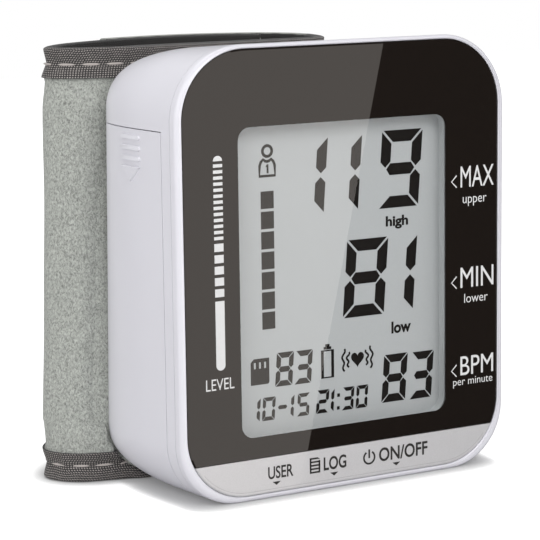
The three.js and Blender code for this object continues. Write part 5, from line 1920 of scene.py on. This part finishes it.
class MONITOR_OT_stage(bpy.types.Operator):
    """Sets the camera, the floor, the lamps and the card that the lens mirrors."""

    bl_idname = "monitor.stage"
    bl_label = "Stage"

    def execute(self, context):
        scene = context.scene
        self.camera(scene)
        self.floor()
        self.card(scene)
        self.world(scene)
        for name, place, size, power in LAMPS:
            lamp(name, place, size, power)
        scene.view_settings.view_transform = 'Standard'
        return {'FINISHED'}

    def camera(self, scene):
        """Camera that sees the object as the photograph does."""
        camera = bpy.data.cameras.new("camera")
        camera.lens = VIEW.lens
        camera.sensor_width = 36
        camera.clip_start = 0.01
        camera.clip_end = 20
        stand = placed("camera", camera)
        turn = Matrix(camera_axes()).transposed().to_4x4()
        stand.matrix_world = Matrix.Translation(at(*VIEW.place)) @ turn
        scene.camera = stand

    def floor(self):
        """White floor with the object's shadow, darker where the object stands on it."""
        mesh = bpy.data.meshes.new("floor")
        corners = rectangle(-FLOOR_HALF, FLOOR_HALF, -FLOOR_HALF, FLOOR_HALF)
        mesh.from_pydata([(x, y, 0) for x, y in corners], [], [(0, 1, 2, 3)])
        floor = placed("floor", mesh)
        floor.visible_glossy = False
        finish = Finish("floor_white")
        seen = finish.node("ShaderNodeLightPath", output="Is Camera Ray")
        white = finish.node("ShaderNodeBsdfDiffuse", None, {"Color": (0.85, 0.85, 0.85, 1)})
        shade = finish.node("ShaderNodeBsdfDiffuse", None, {"Color": (0.5, 0.5, 0.5, 1)})
        reach = finish.node(
            "ShaderNodeVectorMath", {"operation": 'LENGTH'}, {0: finish.places()}, "Value"
        )
        lit = finish.node("ShaderNodeMapRange", None, {
            "Value": reach, "From Min": FLOOR_FADE[0], "From Max": FLOOR_FADE[1],
            "To Min": FLOOR_LIGHT[0], "To Max": FLOOR_LIGHT[1],
        })
        nook = finish.node(
            "ShaderNodeAmbientOcclusion", {"samples": 16}, {"Distance": FLOOR_NOOK}, "AO"
        )
        open_sky = nook * nook * nook * nook * (1 - FLOOR_LEAST) + FLOOR_LEAST
        kept = open_sky.most(reach.above(FLOOR_FADE[1]))
        bright = finish.node("ShaderNodeEmission", None, {"Color": lit * kept, "Strength": 1.0})
        glowing = finish.node("ShaderNodeAddShader", None, {0: shade, 1: bright})
        mesh.materials.append(finish.done(
            finish.node("ShaderNodeMixShader", None, {0: seen, 1: white, 2: glowing})
        ))

    def card(self, scene):
        """Bright card whose edge the flat lens mirrors as a slanting line."""
        eye = Vector(VIEW.place)
        glass = in_mm(scene.monitor_face).setback
        mirror = Vector((eye.x, 2 * glass - eye.y, eye.z))
        edge = []
        for x, z in (GLARE_TOP, GLARE_FOOT):
            ray = Vector((x, glass, z)) - mirror
            edge.append(mirror + ray * ((-CARD_DISTANCE - mirror.y) / ray.y))
        along = (edge[0] - edge[1]).normalized()
        top, foot = edge[0] + along * CARD_REACH, edge[1] - along * CARD_FOOT
        side = Vector((-CARD_SIDE, 0, 0))
        spots = (foot, top, top + side, foot + side)
        mesh = mesh_of("mirror_card", spots, [(0, 1, 2, 3)])
        card = placed("mirror_card", mesh)
        finish = Finish("card_white")
        glow = {"Color": (*CARD_TINT, 1), "Strength": CARD_LIGHT}
        mesh.materials.append(finish.done(finish.node("ShaderNodeEmission", None, glow)))
        for kind in ("camera", "diffuse", "shadow", "transmission", "volume_scatter"):
            setattr(card, "visible_" + kind, False)

    def world(self, scene):
        """White where the camera sees it, soft light on the object, and dim in mirrors."""
        scene.world = bpy.data.worlds.new("studio")
        scene.world.use_nodes = True
        node = NodeTree(scene.world.node_tree).node
        mirrored = node("ShaderNodeLightPath", output="Is Glossy Ray")
        soft, dim, white = (
            node("ShaderNodeBackground", None, {"Color": (1, 1, 1, 1), "Strength": strength})
            for strength in (WORLD_LIGHT, WORLD_MIRROR, 1.0)
        )
        lit = node("ShaderNodeMixShader", None, {0: mirrored, 1: soft, 2: dim})
        seen = mirrored.beside("Is Camera Ray")
        shown = node("ShaderNodeMixShader", None, {0: seen, 1: lit, 2: white})
        node("ShaderNodeOutputWorld", None, {"Surface": shown})


class MONITOR_PT_panel(bpy.types.Panel):
    """Panel that lists the monitor's pieces and settings."""

    bl_label = "Blood pressure monitor"
    bl_space_type = 'VIEW_3D'
    bl_region_type = 'UI'
    bl_category = "Monitor"

    def draw(self, context):
        column = self.layout.column()
        for operator in OPERATORS:
            column.operator(operator.bl_idname)
        for name in GROUPS:
            group = getattr(context.scene, name)
            box = self.layout.box()
            for key in group.__annotations__:
                box.prop(group, key)


OPERATORS = (
    MONITOR_OT_stage, MONITOR_OT_casing, MONITOR_OT_door, MONITOR_OT_face, MONITOR_OT_face_print,
    MONITOR_OT_display, MONITOR_OT_keys, MONITOR_OT_works, MONITOR_OT_sleeve, MONITOR_OT_tail,
    MONITOR_OT_stitches,
)
GROUPS = {
    "monitor_casing": CasingSizes, "monitor_face": FaceSizes, "monitor_cuff": CuffSizes,
    "monitor_colours": Colours,
}


def register():
    for group in GROUPS.values():
        bpy.utils.register_class(group)
    for name, group in GROUPS.items():
        setattr(bpy.types.Scene, name, bpy.props.PointerProperty(type=group))
    for operator in OPERATORS:
        bpy.utils.register_class(operator)
    bpy.utils.register_class(MONITOR_PT_panel)


def unregister():
    bpy.utils.unregister_class(MONITOR_PT_panel)
    for operator in reversed(OPERATORS):
        bpy.utils.unregister_class(operator)
    for name, group in GROUPS.items():
        delattr(bpy.types.Scene, name)
        bpy.utils.unregister_class(group)


def main():
    """Builds every piece."""
    register()
    for operator in OPERATORS:
        area, call = operator.bl_idname.split(".")
        getattr(getattr(bpy.ops, area), call)()


if __name__ == "__main__":
    main()
